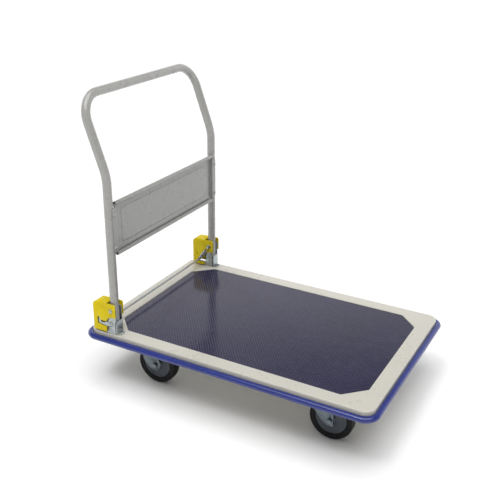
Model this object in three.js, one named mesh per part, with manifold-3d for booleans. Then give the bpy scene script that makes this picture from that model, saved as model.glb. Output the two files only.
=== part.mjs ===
// Folding platform cart. Millimetres, +Z up.
// +X runs along the deck towards the free front end, the folding handle stands at the -X end,
// +Y is the pusher's left. The origin is the centre of the deck's footprint, on the ground.
import * as THREE from 'three';
import { mergeVertices } from 'three/addons/utils/BufferGeometryUtils.js';
import Module from 'manifold-3d';

// ---------------------------------------------------------------- driving dimensions
const GAP = 0.3;                 // air left between pieces that touch
const DECK_TOP = 175;            // painted rim of the deck above the ground
const DECK_L = 880, DECK_W = 578;        // pressed steel pan, outside
const DECK_SKIRT = 30;           // height of the pan's side wall
const DECK_R = 31;               // corner radius of the pan in plan
const DECK_EDGE = 2.2;             // rounding between the top and the side wall
const SHEET = 2.4;               // pan wall
const BUMPER_L = 910, BUMPER_W = 610, BUMPER_R = 44;
const BUMPER_Z0 = 147.5, BUMPER_Z1 = 163.5;
const MAT_X0 = -385, MAT_X1 = 394.5, MAT_Y = 245, MAT_CHAMFER = 55.5;
const MAT_RECESS = 3.6, MAT_T = 2.0;
const MEMBER_Z = 155;            // underside of the two crossmembers
const MEMBER_W = 112, MEMBER_HALF = 286;
const WHEEL_R = 62.5, WHEEL_W = 32, WHEEL_FACETS = 24;
const WHEEL_Y = 195;             // centre planes of the wheels
const FRONT_AXLE_X = 302.5, REAR_AXLE_X = -259, REAR_SWIVEL_X = -295, FRONT_PLATE_X = 280;
const CHEEK_IN = 19.5, CHEEK_T = 2.5;    // caster fork cheeks from the wheel's middle plane
const LEG_X = -354.6, LEG_Y = 270;       // handle legs
const TUBE_R = 12.7, TUBE_WALL = 1.8;
const PIVOT_Z = DECK_TOP + 75;   // handle hinge axis
const FOOT_Z = DECK_TOP + 21;    // lowest point of the handle leg, with its end cap
const BEND_Z = 647.6, BEND_R = 150;      // knee of the legs
const BAR_X = -428.9, BAR_Z = 855.2, CORNER_R = 72;
const PANEL_TOP = 569.5, PANEL_BOT = 421, HEM_R = 5.6, PANEL_HALF = 255;
const RIVET_Z = [443.6, 541], RIVET_Y = 266.5, FLANGE_Y = 272;
const PANEL_SET = 3.4;           // back of the panel's sheet, forward of the legs' plane
const COVER_HALF = 19.4, COVER_WALL = 1.8;       // yellow hinge cover, from the leg's plane
const ROD_X = -390, ROD_Z = DECK_TOP + 25, ROD_R = 4;
const LEVER_X = -360, LEVER_Z = DECK_TOP + 30;   // axis of the lock levers

// ---------------------------------------------------------------- tools
const wasm = await Module();
wasm.setup();

// one closed, merged, outward-facing geometry holding positions only
function clean(geometry) {
  const g = geometry.index ? geometry.toNonIndexed() : geometry.clone();
  for (const name of Object.keys(g.attributes)) if (name !== 'position') g.deleteAttribute(name);
  g.clearGroups();
  const m = mergeVertices(g, 1e-4);
  const idx = m.index.array, keep = [];
  for (let i = 0; i < idx.length; i += 3) {
    const [a, b, c] = [idx[i], idx[i + 1], idx[i + 2]];
    if (a !== b && b !== c && c !== a) keep.push(a, b, c);
  }
  const p = m.attributes.position.array;
  let vol = 0;
  for (let i = 0; i < keep.length; i += 3) {
    const [a, b, c] = [keep[i] * 3, keep[i + 1] * 3, keep[i + 2] * 3];
    vol += p[a] * (p[b + 1] * p[c + 2] - p[b + 2] * p[c + 1])
      - p[a + 1] * (p[b] * p[c + 2] - p[b + 2] * p[c])
      + p[a + 2] * (p[b] * p[c + 1] - p[b + 1] * p[c]);
  }
  if (vol < 0) for (let i = 0; i < keep.length; i += 3) [keep[i + 1], keep[i + 2]] = [keep[i + 2], keep[i + 1]];
  const out = new THREE.BufferGeometry();
  out.setAttribute('position', new THREE.BufferAttribute(new Float32Array(p), 3));
  out.setIndex(keep);
  return out;
}
function solid(geometry) {
  const g = clean(geometry);
  return new wasm.Manifold(new wasm.Mesh({
    numProp: 3,
    vertProperties: new Float32Array(g.attributes.position.array),
    triVerts: new Uint32Array(g.index.array),
  }));
}
function geometryOf(manifold) {
  const m = manifold.getMesh();
  const g = new THREE.BufferGeometry();
  g.setAttribute('position', new THREE.BufferAttribute(new Float32Array(m.vertProperties), 3));
  g.setIndex(new THREE.BufferAttribute(new Uint32Array(m.triVerts), 1));
  g.computeVertexNormals();
  return g;
}
const material = (color, roughness, metalness) => new THREE.MeshStandardMaterial({ color, roughness, metalness });
const root = new THREE.Group();
function piece(name, shape, mat, parent = root, place = {}) {
  const g = shape.getMesh ? geometryOf(shape) : clean(shape);
  g.computeVertexNormals();
  const mesh = new THREE.Mesh(g, mat);
  mesh.name = name;
  if (place.position) mesh.position.set(...place.position);
  if (place.rotation) mesh.rotation.set(...place.rotation);
  parent.add(mesh);
  return mesh;
}
// prism of a shape drawn in X,Y from z0 to z1
function prism(shape, z0, z1, curveSegments = 6) {
  const g = new THREE.ExtrudeGeometry(shape, { depth: z1 - z0, bevelEnabled: false, curveSegments });
  g.translate(0, 0, z0);
  return g;
}
// prism of a shape drawn in X (across) and Z (up), running along Y from y0 to y1
function prismY(shape, y0, y1, curveSegments = 6) {
  const g = new THREE.ExtrudeGeometry(shape, { depth: y1 - y0, bevelEnabled: false, curveSegments });
  g.rotateX(Math.PI / 2);
  g.translate(0, y1, 0);
  return g;
}
function polygon(points) {
  return new THREE.Shape(points.map(([x, y]) => new THREE.Vector2(x, y)));
}
// polygon with rounded corners: [x, y, radius]
function rounded(points, steps = 3) {
  const out = [];
  const n = points.length;
  for (let i = 0; i < n; i++) {
    const [x, y, r = 0] = points[i];
    if (!r) { out.push([x, y]); continue; }
    const a = new THREE.Vector2(...points[(i + n - 1) % n].slice(0, 2)).sub(new THREE.Vector2(x, y)).normalize();
    const b = new THREE.Vector2(...points[(i + 1) % n].slice(0, 2)).sub(new THREE.Vector2(x, y)).normalize();
    const half = Math.acos(Math.max(-1, Math.min(1, a.dot(b)))) / 2;
    const d = r / Math.tan(half);
    const mid = a.clone().add(b).normalize().multiplyScalar(r / Math.sin(half)).add(new THREE.Vector2(x, y));
    const p = a.clone().multiplyScalar(d).add(new THREE.Vector2(x, y)).sub(mid);
    const q = b.clone().multiplyScalar(d).add(new THREE.Vector2(x, y)).sub(mid);
    let a0 = Math.atan2(p.y, p.x), a1 = Math.atan2(q.y, q.x);
    if (a1 - a0 > Math.PI) a1 -= 2 * Math.PI;
    if (a0 - a1 > Math.PI) a1 += 2 * Math.PI;
    for (let k = 0; k <= steps; k++) {
      const t = a0 + (a1 - a0) * k / steps;
      out.push([mid.x + r * Math.cos(t), mid.y + r * Math.sin(t)]);
    }
  }
  return polygon(out);
}
const roundRect = (l, w, r, steps = 6) =>
  rounded([[-l / 2, -w / 2, r], [l / 2, -w / 2, r], [l / 2, w / 2, r], [-l / 2, w / 2, r]], steps);
// round bar between two heights along Y, centred on (x, z)
function barY(r, y0, y1, x = 0, z = 0, sides = 16) {
  const g = new THREE.CylinderGeometry(r, r, y1 - y0, sides);
  g.translate(x, (y0 + y1) / 2, z);
  return g;
}
function barX(r, x0, x1, y = 0, z = 0, sides = 16) {
  const g = new THREE.CylinderGeometry(r, r, x1 - x0, sides);
  g.rotateZ(Math.PI / 2);
  g.translate((x0 + x1) / 2, y, z);
  return g;
}
function barZ(r, z0, z1, x = 0, y = 0, sides = 16) {
  const g = new THREE.CylinderGeometry(r, r, z1 - z0, sides);
  g.rotateX(Math.PI / 2);
  g.translate(x, y, (z0 + z1) / 2);
  return g;
}
function block(x0, x1, y0, y1, z0, z1) {
  const g = new THREE.BoxGeometry(x1 - x0, y1 - y0, z1 - z0);
  g.translate((x0 + x1) / 2, (y0 + y1) / 2, (z0 + z1) / 2);
  return g;
}
// turned piece: closed profile of [radius, height along the axis]; the axis is Y.
// The facets are centred on the lowest point, so a wheel stands on a flat.
function turned(profile, segments, flat = false) {
  const pts = profile.concat([profile[0]]).map(([r, h]) => new THREE.Vector2(r, h));
  const g = new THREE.LatheGeometry(pts, segments);
  if (flat) {
    g.scale(1 / Math.cos(Math.PI / segments), 1, 1 / Math.cos(Math.PI / segments));
    g.rotateY(Math.PI / segments);
  }
  return g;
}

// ---------------------------------------------------------------- finishes
const beige = () => material(0xd4d0c4, 0.38, 0.1);
const handlePaint = () => material(0xc2c2ba, 0.35, 0.1);
const panelPaint = () => material(0x969792, 0.42, 0.1);
const matVinyl = () => material(0x46445a, 0.35, 0.0);
const bluePlastic = () => material(0x30388a, 0.22, 0.0);
const yellowPlastic = () => material(0xe6c814, 0.4, 0.0);
const zinc = () => material(0xa0b0ac, 0.35, 0.85);
const steel = () => material(0x8f9496, 0.4, 0.9);
const rubber = () => material(0x141414, 0.75, 0.0);
const hubGrey = () => material(0x3c4046, 0.5, 0.1);
const blackPlastic = () => material(0x202022, 0.55, 0.0);

// ---------------------------------------------------------------- deck
const matOutline = (grow) => {
  const x0 = MAT_X0 - grow, x1 = MAT_X1 + grow, y = MAT_Y + grow, c = MAT_CHAMFER + grow * 0.59;
  return rounded([
    [x0 + c, -y, 8], [x1 - c, -y, 8], [x1, -y + c, 8], [x1, y - c, 8],
    [x1 - c, y, 8], [x0 + c, y, 8], [x0, y - c, 8], [x0, -y + c, 8],
  ], 2);
};
{
  // outer skin: a rounded slab whose top edge is rolled over
  const shell = new THREE.ExtrudeGeometry(
    roundRect(DECK_L - 2 * DECK_EDGE, DECK_W - 2 * DECK_EDGE, DECK_R - DECK_EDGE, 6),
    { depth: 40, bevelEnabled: true, bevelThickness: DECK_EDGE, bevelSize: DECK_EDGE, bevelSegments: 3, curveSegments: 6 });
  shell.translate(0, 0, DECK_TOP - DECK_EDGE - 40);
  let pan = solid(shell).subtract(solid(block(-600, 600, -500, 500, 60, DECK_TOP - DECK_SKIRT)));
  const inner = roundRect(DECK_L - 2 * SHEET, DECK_W - 2 * SHEET, DECK_R - SHEET, 6);
  const under = solid(prism(inner, 100, DECK_TOP - SHEET))
    .subtract(solid(prism(matOutline(3), DECK_TOP - MAT_RECESS - SHEET, DECK_TOP)));
  pan = pan.subtract(under).subtract(solid(prism(matOutline(GAP), DECK_TOP - MAT_RECESS, DECK_TOP + 10)));
  piece('deck_pan', pan, beige());

  piece('deck_mat', prism(matOutline(0), DECK_TOP - MAT_RECESS + GAP, DECK_TOP - MAT_RECESS + GAP + MAT_T), matVinyl());

  // bumper: half-round rail running all the way round the skirt
  const h = BUMPER_Z1 - BUMPER_Z0;
  const rail = new THREE.ExtrudeGeometry(roundRect(BUMPER_L - 14, BUMPER_W - 14, BUMPER_R - 7, 6),
    { depth: h - 14, bevelEnabled: true, bevelThickness: 7, bevelSize: 7, bevelSegments: 4, curveSegments: 6 });
  rail.translate(0, 0, BUMPER_Z0 + 7);
  const bore = prism(roundRect(DECK_L + 2 * GAP, DECK_W + 2 * GAP, DECK_R + GAP, 6), BUMPER_Z0 - 5, BUMPER_Z1 + 5);
  piece('edge_bumper', solid(rail).subtract(solid(bore)), bluePlastic());

  // folded channel crossmembers that carry the casters
  const zt = DECK_TOP - MAT_RECESS - SHEET - GAP, t = 2, w = MEMBER_W / 2;
  const hat = (cx) => polygon([
    [cx - w - 14, zt - t], [cx - w, zt - t], [cx - w, MEMBER_Z], [cx + w, MEMBER_Z], [cx + w, zt - t], [cx + w + 14, zt - t],
    [cx + w + 14, zt], [cx + w - t, zt], [cx + w - t, MEMBER_Z + t], [cx - w + t, MEMBER_Z + t], [cx - w + t, zt], [cx - w - 14, zt],
  ]);
  piece('front_crossmember', prismY(hat(FRONT_PLATE_X), -MEMBER_HALF, MEMBER_HALF), beige());
  piece('rear_crossmember', prismY(hat(REAR_SWIVEL_X), -MEMBER_HALF, MEMBER_HALF), beige());
  // lengthwise stiffener between them
  const x0 = REAR_SWIVEL_X + w + 14 + 1, x1 = FRONT_PLATE_X - w - 14 - 1, b = 34;
  const rib = polygon([
    [-b - 12, zt - t], [-b, zt - t], [-b + 4, MEMBER_Z + 2], [b - 4, MEMBER_Z + 2], [b, zt - t], [b + 12, zt - t],
    [b + 12, zt], [b - t, zt], [b - 4 - t, MEMBER_Z + 2 + t], [-b + 4 + t, MEMBER_Z + 2 + t], [-b + t, zt], [-b - 12, zt],
  ]);
  const g = prismY(rib, x0, x1);          // drawn across, then turned to run along X
  g.rotateZ(-Math.PI / 2);
  piece('center_stiffener', g, beige());
}

// ---------------------------------------------------------------- fasteners
// hex-headed bolt along Y: head at +Y side, shank towards -Y; the head's seat is at y = 0
function hexBolt(r, across, headH, length) {
  const head = new THREE.CylinderGeometry(across / Math.sqrt(3), across / Math.sqrt(3), headH, 6);
  head.translate(0, headH / 2, 0);
  const shank = new THREE.CylinderGeometry(r, r, length + 1, 8);
  shank.translate(0, -length / 2 + 0.5, 0);
  return solid(head).add(solid(shank));
}
function hexNut(r, across, h) {
  const nut = new THREE.CylinderGeometry(across / Math.sqrt(3), across / Math.sqrt(3), h, 6);
  nut.translate(0, h / 2, 0);
  const hole = new THREE.CylinderGeometry(r + 0.2, r + 0.2, h * 3, 8);
  return solid(nut).subtract(solid(hole));
}

// ---------------------------------------------------------------- wheels
// out = +1 on the left side of the cart, -1 on the right
function wheel(tag, x, y) {
  const g = new THREE.Group();
  g.position.set(x, y, WHEEL_R);
  root.add(g);
  const w = WHEEL_W / 2;
  piece('tyre_' + tag, turned([
    [46, -w + 2.5], [58.5, -w], [61.6, -w + 2.4], [WHEEL_R, -w + 6], [WHEEL_R, w - 6],
    [61.6, w - 2.4], [58.5, w], [46, w - 2.5],
  ], WHEEL_FACETS, true), rubber(), g);
  piece('wheel_hub_' + tag, turned([
    [8.3, -17.5], [14, -17.5], [16, -12.4], [30, -10.6], [39, -11.6], [41, -13.2], [44.9, -13.2],
    [44.9, 13.2], [41, 13.2], [39, 11.6], [30, 10.6], [16, 12.4], [14, 17.5], [8.3, 17.5],
  ], 16, true), hubGrey(), g);
  piece('axle_sleeve_' + tag, turned([
    [4.4, -CHEEK_IN + GAP], [7.9, -CHEEK_IN + GAP], [7.9, CHEEK_IN - GAP], [4.4, CHEEK_IN - GAP],
  ], 12), steel(), g);
}
function axle(tag, x, y, out) {
  const g = new THREE.Group();
  g.position.set(x, y, WHEEL_R);
  g.rotation.set(0, 0, out > 0 ? 0 : Math.PI);     // the bolt's head faces outwards
  root.add(g);
  const seat = CHEEK_IN + CHEEK_T + GAP;
  const bolt = hexBolt(4, 13, 5.3, 2 * seat + 10).translate(0, seat, 0);
  piece('axle_bolt_' + tag, bolt, zinc(), g);
  piece('axle_nut_' + tag, hexNut(4.3, 13, 6.5).translate(0, -seat - 6.5, 0), zinc(), g);
}
const cheekPair = (outline) => {
  const inner = CHEEK_IN, outer = CHEEK_IN + CHEEK_T;
  return solid(prismY(outline, -outer, -inner)).add(solid(prismY(outline, inner, outer)));
};

// rigid front casters: plate and fork pressed as one bracket
function rigidCaster(tag, y, out) {
  const plateTop = MEMBER_Z - GAP, plateBot = plateTop - 3;
  const ax = FRONT_AXLE_X, az = WHEEL_R;
  const outline = rounded([
    [ax + 10, plateBot + 1], [ax - 62, plateBot + 1], [ax - 62, az + 56, 30], [ax - 46, az + 23, 60],
    [ax - 29, az - 1, 40], [ax - 11, az - 15.5, 20], [ax + 10, az - 19.5, 5],
  ], 2);
  let fork = cheekPair(outline);
  fork = fork.add(solid(block(ax - 62, ax + 10, -CHEEK_IN - 1, CHEEK_IN + 1, plateBot - 2.5, plateBot + 1)));
  fork = fork.add(solid(prism(rounded([
    [FRONT_PLATE_X - 52, -42, 8], [FRONT_PLATE_X + 52, -42, 8], [FRONT_PLATE_X + 52, 42, 8], [FRONT_PLATE_X - 52, 42, 8]], 2),
  plateBot, plateTop)));
  for (const s of [-1, 1]) for (const t of [-1, 1])
    fork = fork.subtract(solid(barZ(4.4, plateBot - 5, plateTop + 5, FRONT_PLATE_X + s * 41, t * 32, 8)));
  fork = fork.subtract(solid(barY(4.4, -60, 60, ax, az, 8)));
  piece('rigid_fork_' + tag, fork, zinc(), root, { position: [0, y, 0] });
  wheel(tag, ax, y);
  axle(tag, ax, y, out);
}

// swivel casters at the handle end: plate, race, kingpin and a trailing fork
function swivelCaster(tag, y, out) {
  const plateTop = MEMBER_Z - GAP, plateBot = plateTop - 3;
  const sx = REAR_SWIVEL_X, ax = REAR_AXLE_X, az = WHEEL_R;
  let plate = solid(prism(rounded([[-52, -42, 8], [52, -42, 8], [52, 42, 8], [-52, 42, 8]], 2), plateBot, plateTop))
    .subtract(solid(barZ(6.5, 100, 200, 0, 0, 10)));
  for (const s of [-1, 1]) for (const t of [-1, 1])
    plate = plate.subtract(solid(barZ(4.4, plateBot - 5, plateTop + 5, s * 41, t * 32, 8)));
  piece('caster_plate_' + tag, plate, zinc(), root, { position: [sx, y, 0] });
  // ball race between the plate and the fork's crown
  const race = turned([[12, 0], [27, 0], [29, 2], [29, 4.5], [25, 9.4], [12, 9.4]], 16);
  race.rotateX(Math.PI / 2);
  race.translate(0, 0, plateBot - GAP - 9.4);
  piece('swivel_race_' + tag, race, zinc(), root, { position: [sx, y, 0] });
  const crownTop = plateBot - 2 * GAP - 9.4, crownBot = crownTop - 3;
  const pin = turned([[0, 0], [9, 0], [12, 2], [12, 4], [6, 4], [6, 4 + plateTop - crownBot + GAP], [0, 4 + plateTop - crownBot + GAP]], 10);
  pin.rotateX(Math.PI / 2);
  pin.translate(0, 0, crownBot - GAP - 4);
  piece('kingpin_' + tag, pin, steel(), root, { position: [sx, y, 0] });
  const outline = rounded([
    [ax - 6, crownTop - 1], [ax - 66, crownTop - 1], [ax - 66, crownTop - 12, 6], [ax - 47, az + 32, 60], [ax - 38, az + 4, 30],
    [ax - 18, az - 16, 26], [ax + 8, az - 21, 14], [ax + 20, az + 4, 12], [ax + 9, az + 26, 40], [ax - 6, az + 52, 30],
  ], 2);
  let fork = cheekPair(outline);
  fork = fork.add(solid(prism(rounded([
    [ax - 66, -CHEEK_IN - 2, 6], [ax - 6, -CHEEK_IN - 2, 6], [ax - 6, CHEEK_IN + 2, 6], [ax - 66, CHEEK_IN + 2, 6]], 2), crownBot, crownTop)));
  fork = fork.subtract(solid(barZ(6.5, 100, 200, sx, 0, 10))).subtract(solid(barY(4.4, -60, 60, ax, az, 8)));
  piece('swivel_fork_' + tag, fork, zinc(), root, { position: [0, y, 0] });
  wheel(tag, ax, y);
  axle(tag, ax, y, out);
}
rigidCaster('front_right', -WHEEL_Y, -1);
rigidCaster('front_left', WHEEL_Y, 1);
swivelCaster('rear_right', -WHEEL_Y, -1);
swivelCaster('rear_left', WHEEL_Y, 1);

// ---------------------------------------------------------------- handle
// centre line sampled where it bends; straight stretches get no extra points
function handleLine() {
  const pts = [];
  const up = new THREE.Vector3(0, 0, 1);
  const lean = new THREE.Vector3(BAR_X - LEG_X, 0, BAR_Z - BEND_Z).normalize();
  const across = new THREE.Vector3(0, 1, 0);
  const arc = (corner, din, dout, r, n) => {
    const half = Math.acos(-din.dot(dout)) / 2;            // half the angle inside the corner
    const d = r / Math.tan(half);
    const centre = corner.clone().add(dout.clone().sub(din).normalize().multiplyScalar(r / Math.sin(half)));
    const a = corner.clone().addScaledVector(din, -d).sub(centre);
    const b = corner.clone().addScaledVector(dout, d).sub(centre);
    const w = Math.acos(a.dot(b) / (r * r));
    for (let k = 0; k <= n; k++) {
      const t = k / n;
      pts.push(a.clone().multiplyScalar(Math.sin((1 - t) * w)).addScaledVector(b, Math.sin(t * w))
        .multiplyScalar(1 / Math.sin(w)).add(centre));
    }
  };
  pts.push(new THREE.Vector3(LEG_X, -LEG_Y, FOOT_Z + 2.5));
  arc(new THREE.Vector3(LEG_X, -LEG_Y, BEND_Z), up, lean, BEND_R, 3);
  arc(new THREE.Vector3(BAR_X, -LEG_Y, BAR_Z), lean, across, CORNER_R, 6);
  arc(new THREE.Vector3(BAR_X, LEG_Y, BAR_Z), across, lean.clone().negate(), CORNER_R, 6);
  arc(new THREE.Vector3(LEG_X, LEG_Y, BEND_Z), lean.clone().negate(), up.clone().negate(), BEND_R, 3);
  pts.push(new THREE.Vector3(LEG_X, LEG_Y, FOOT_Z + 2.5));
  return pts;
}
class Line extends THREE.Curve {
  constructor(points) { super(); this.points = points; }
  getPoint(t) {
    const s = t * (this.points.length - 1), i = Math.min(Math.floor(s), this.points.length - 2);
    return this.points[i].clone().lerp(this.points[i + 1], s - i);
  }
  getPointAt(t) { return this.getPoint(t); }
  getSpacedPoints() { return this.points; }
  getTangentAt(t) {
    const p = this.points, i = Math.round(t * (p.length - 1));
    const v = new THREE.Vector3();
    if (i > 0) v.add(p[i].clone().sub(p[i - 1]).normalize());
    if (i < p.length - 1) v.add(p[i + 1].clone().sub(p[i]).normalize());
    return v.normalize();
  }
}
{
  const pts = handleLine();
  const ring = new THREE.Shape();
  ring.absarc(0, 0, TUBE_R, 0, Math.PI * 2, false);
  const inner = new THREE.Path();
  inner.absarc(0, 0, TUBE_R - TUBE_WALL, 0, Math.PI * 2, true);
  ring.holes.push(inner);
  const tubeGeometry = new THREE.ExtrudeGeometry(ring, { steps: pts.length - 1, curveSegments: 7, bevelEnabled: false, extrudePath: new Line(pts) });
  let tube = solid(tubeGeometry);
  for (const s of [-1, 1]) {
    tube = tube.subtract(solid(barY(4.5, s * LEG_Y - 30, s * LEG_Y + 30, LEG_X, PIVOT_Z, 8)));
    for (const z of RIVET_Z) tube = tube.subtract(solid(barX(3.0, LEG_X - 30, LEG_X + 30, s * RIVET_Y, z, 6)));
  }
  piece('handle_tube', tube, handlePaint());
  for (const [tag, s] of [['right', -1], ['left', 1]]) {
    const cap = turned([[0, 0], [12.4, 0], [12.4, 2.2], [10.5, 2.2], [10.3, 14], [0, 14]], 12);
    cap.rotateX(Math.PI / 2);
    piece('leg_cap_' + tag, cap, blackPlastic(), root, { position: [LEG_X, s * LEG_Y, FOOT_Z] });
  }

  // panel: one sheet set between the legs, its top and bottom edges rolled forward into open hems;
  // the ends step forward into flanges that lie on the front of the legs
  const front = LEG_X + TUBE_R + GAP, t = 1.6, lip = front + t;
  const back = LEG_X + PANEL_SET, face = back + t, hemX = back + HEM_R;
  const topOut = [], topIn = [];
  const n = 8;
  for (let k = 0; k <= n; k++) {             // top hem: up from the sheet, over the front and back in
    const a = Math.PI - (k / n) * Math.PI * 1.6;
    topOut.push([hemX + HEM_R * Math.cos(a), PANEL_TOP + HEM_R * Math.sin(a)]);
    topIn.push([hemX + (HEM_R - t) * Math.cos(a), PANEL_TOP + (HEM_R - t) * Math.sin(a)]);
  }
  const botOut = topOut.map(([x, z]) => [x, PANEL_BOT + PANEL_TOP - z]);
  const botIn = topIn.map(([x, z]) => [x, PANEL_BOT + PANEL_TOP - z]);
  const profile = polygon([...topOut, ...topIn.slice().reverse(), ...botIn, ...botOut.slice().reverse()]);
  let panel = solid(prismY(profile, -PANEL_HALF, PANEL_HALF));
  for (const s of [-1, 1]) {
    const across = (v0, v1) => [Math.min(s * v0, s * v1), Math.max(s * v0, s * v1)];
    panel = panel.add(solid(block(back, lip, ...across(PANEL_HALF - t, PANEL_HALF), PANEL_BOT + 9, PANEL_TOP - 9)));
    panel = panel.add(solid(block(front, lip, ...across(PANEL_HALF - t, FLANGE_Y), PANEL_BOT + 9, PANEL_TOP - 9)));
  }
  // raised field pressed into the middle
  panel = panel.add(solid(block(face - 0.5, face + 1.6, -225, 225, 443.5, 548)));
  for (const s of [-1, 1]) for (const z of RIVET_Z) panel = panel.subtract(solid(barX(3.0, front - 5, lip + 5, s * RIVET_Y, z, 8)));
  piece('handle_panel', panel, panelPaint());
  for (const [tag, s] of [['right', -1], ['left', 1]]) for (const [where, z] of [['lower', RIVET_Z[0]], ['upper', RIVET_Z[1]]]) {
    // through rivet along X: low dome in front, peened tail behind the leg
    const r = turned([
      [0, 0], [3.8, 0], [4.6, 2.4], [2.3, 2.4], [2.3, 2.4 + 2 * TUBE_R + t + 3 * GAP],
      [5.2, 2.4 + 2 * TUBE_R + t + 3 * GAP], [4.6, 4.6 + 2 * TUBE_R + t + 3 * GAP], [0, 6.2 + 2 * TUBE_R + t + 3 * GAP],
    ], 8);
    r.rotateZ(-Math.PI / 2);
    r.translate(LEG_X - TUBE_R - GAP - 2.4, 0, 0);
    piece(`panel_rivet_${tag}_${where}`, r, steel(), root, { position: [0, s * RIVET_Y, z] });
  }
}

// ---------------------------------------------------------------- hinges and lock
// drawn for the left leg (+Y outwards), mirrored for the right
function hinge(tag, s) {
  const g = new THREE.Group();
  root.add(g);
  const y = (v) => s * (LEG_Y + v);                       // v is measured outwards from the leg's plane
  const span = (shape, v0, v1, seg = 6) => prismY(shape, Math.min(y(v0), y(v1)), Math.max(y(v0), y(v1)), seg);
  const bar = (r, v0, v1, x, z, sides = 12) => barY(r, Math.min(y(v0), y(v1)), Math.max(y(v0), y(v1)), x, z, sides);
  const slab = (x0, x1, v0, v1, z0, z1) => block(x0, x1, Math.min(y(v0), y(v1)), Math.max(y(v0), y(v1)), z0, z1);
  const d = DECK_TOP, ci = TUBE_R + GAP, co = ci + 2.3;
  const cheek = rounded([
    [-375, d + GAP], [-341, d + GAP], [-341.5, d + 82, 9], [-354.6, d + 90, 12], [-368, d + 82, 9], [-366, d + 54, 20], [-371, d + 22, 20],
  ], 3);
  let bracket = solid(span(cheek, -co, -ci)).add(solid(span(cheek, ci, co)))
    .add(solid(slab(-375, -341, -co + 0.5, co - 0.5, d + GAP, d + GAP + 3)))
    .add(solid(slab(-375, -330, -12, 12, d + GAP, d + GAP + 3)))
    .add(solid(slab(LEG_X + ci, LEG_X + co, -co, co, d + GAP, d + 42)));     // front wall, where the leg's foot rests
  bracket = bracket.subtract(solid(bar(4.4, -40, 40, LEG_X, PIVOT_Z, 10))).subtract(solid(bar(3.3, 0, 40, LEVER_X, LEVER_Z, 8)));
  piece('hinge_bracket_' + tag, bracket, zinc(), g);

  // moulded cover: two side walls, a back and a top, open to the front for the leg
  const o = COVER_HALF, w = COVER_WALL;
  const z0 = d + 4.2;
  const side = rounded([[-418, z0, 0], [-375, z0, 0], [-339, z0], [-339, d + 98, 6], [-418, d + 96, 13]], 3);
  const hollow = rounded([[-416.2, z0 - 10], [-300, z0 - 10], [-300, d + 120], [-371, d + 120], [-371, d + 94.5], [-416.2, d + 94.2, 11.2]], 3);
  const cut = rounded([[-330, z0 - 10], [-330, d + 56.5], [-336, d + 56.5], [-341, d + 55.5, 3], [-362, d + 53.5, 6], [-372.5, d + 41, 3], [-373, d + 10, 3], [-376, z0 - 10]], 3);
  let cover = solid(span(side, -o, o)).subtract(solid(span(hollow, -o + w, o - w))).subtract(solid(span(cut, -o - 5, o + 5)));
  // outer wall: window over the lock lever
  const windowShape = rounded([
    [-404.5, d + 25, 4], [-360, d + 19, 0], [-360, d + 38.5, 0], [-376, d + 38.5, 2], [-395, d + 38.5, 3], [-395, d + 47.5, 3.5], [-404.5, d + 47.5, 3.5],
  ], 2);
  cover = cover.subtract(solid(span(windowShape, o - w - 2, o + 5)));
  // inner wall: notch for the release rod and a small hole
  const notch = rounded([[-360, d + 13.2], [-360, d + 31.6], [-384, d + 31.6, 3], [-395.6, d + 31.6, 5], [-395.6, d + 13.2, 5]], 2);
  cover = cover.subtract(solid(span(notch, -o - 5, -o + w + 2))).subtract(solid(bar(2.4, -o - 5, -o + w + 2, -400.5, d + 42, 6)));
  cover = cover.subtract(solid(bar(4.5, -60, 60, LEG_X, PIVOT_Z, 10)));
  piece('hinge_cover_' + tag, cover, yellowPlastic(), g);

  // hinge bolt: domed head outside, plain end inside that also holds the spring
  const face = o + GAP;
  const head = turned([[0, 4.2], [3.4, 3.6], [6, 1.6], [6.4, 0], [0, 0]], 10);
  head.translate(0, face, 0);
  const shank = turned([[0, face + 0.5], [4, face + 0.5], [4, -31], [0, -31]], 10);
  const bolt = solid(head).add(solid(shank));
  piece('pivot_bolt_' + tag, s > 0 ? bolt : bolt.rotate([0, 0, 180]), zinc(), g, { position: [LEG_X, s * LEG_Y, PIVOT_Z] });
  const ringNut = turned([[4.4, 0], [7, 0], [7, 1.6], [5.6, 2.6], [4.4, 2.6]], 10);
  ringNut.translate(0, -o - GAP - 2.6, 0);
  if (s < 0) ringNut.rotateZ(Math.PI);
  piece('pivot_retainer_' + tag, ringNut, steel(), g, { position: [LEG_X, s * LEG_Y, PIVOT_Z] });

  // lock lever outside the bracket's outer cheek, its axis pin, and the tension spring
  const lv0 = co + GAP, lv1 = lv0 + 1.4;
  const lever = rounded([
    [LEVER_X + 7.5, LEVER_Z - 7, 6], [LEVER_X + 7.5, LEVER_Z + 7.5, 6], [-374, d + 36, 5], [-384, d + 31.5, 5], [-394.6, d + 31, 3], [-395.6, d + 44.5, 3],
    [-402.4, d + 44.5, 3], [-403, d + 26, 5], [-391, d + 19.5, 6], [-380, d + 20, 8],
  ], 3);
  piece('lock_lever_' + tag, solid(span(lever, lv0, lv1)).subtract(solid(bar(3.3, 0, 40, LEVER_X, LEVER_Z, 8))), zinc(), g);
  piece('lever_pin_' + tag, bar(2.8, ci + 0.1, lv1 + 0.2, LEVER_X, LEVER_Z, 8), steel(), g);
  const a = new THREE.Vector3(ROD_X, 0, ROD_Z), b = new THREE.Vector3(LEG_X, 0, PIVOT_Z);
  const len = a.distanceTo(b), coil = len - 20.5;
  const spring = new THREE.CylinderGeometry(5.4, 5.4, coil, 8);
  spring.rotateX(Math.PI / 2);
  spring.rotateY(Math.atan2(b.x - a.x, b.z - a.z));
  const mid = a.clone().lerp(b, (9.5 + coil / 2) / len);
  piece('return_spring_' + tag, spring, steel(), g, { position: [mid.x, y(-25.6), mid.z] });
}
hinge('right', -1);
hinge('left', 1);
{
  const end = LEG_Y + TUBE_R + GAP + 2.3;
  piece('release_rod', barY(ROD_R, -end, end, ROD_X, ROD_Z, 10), steel());
}

export default root;
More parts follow.
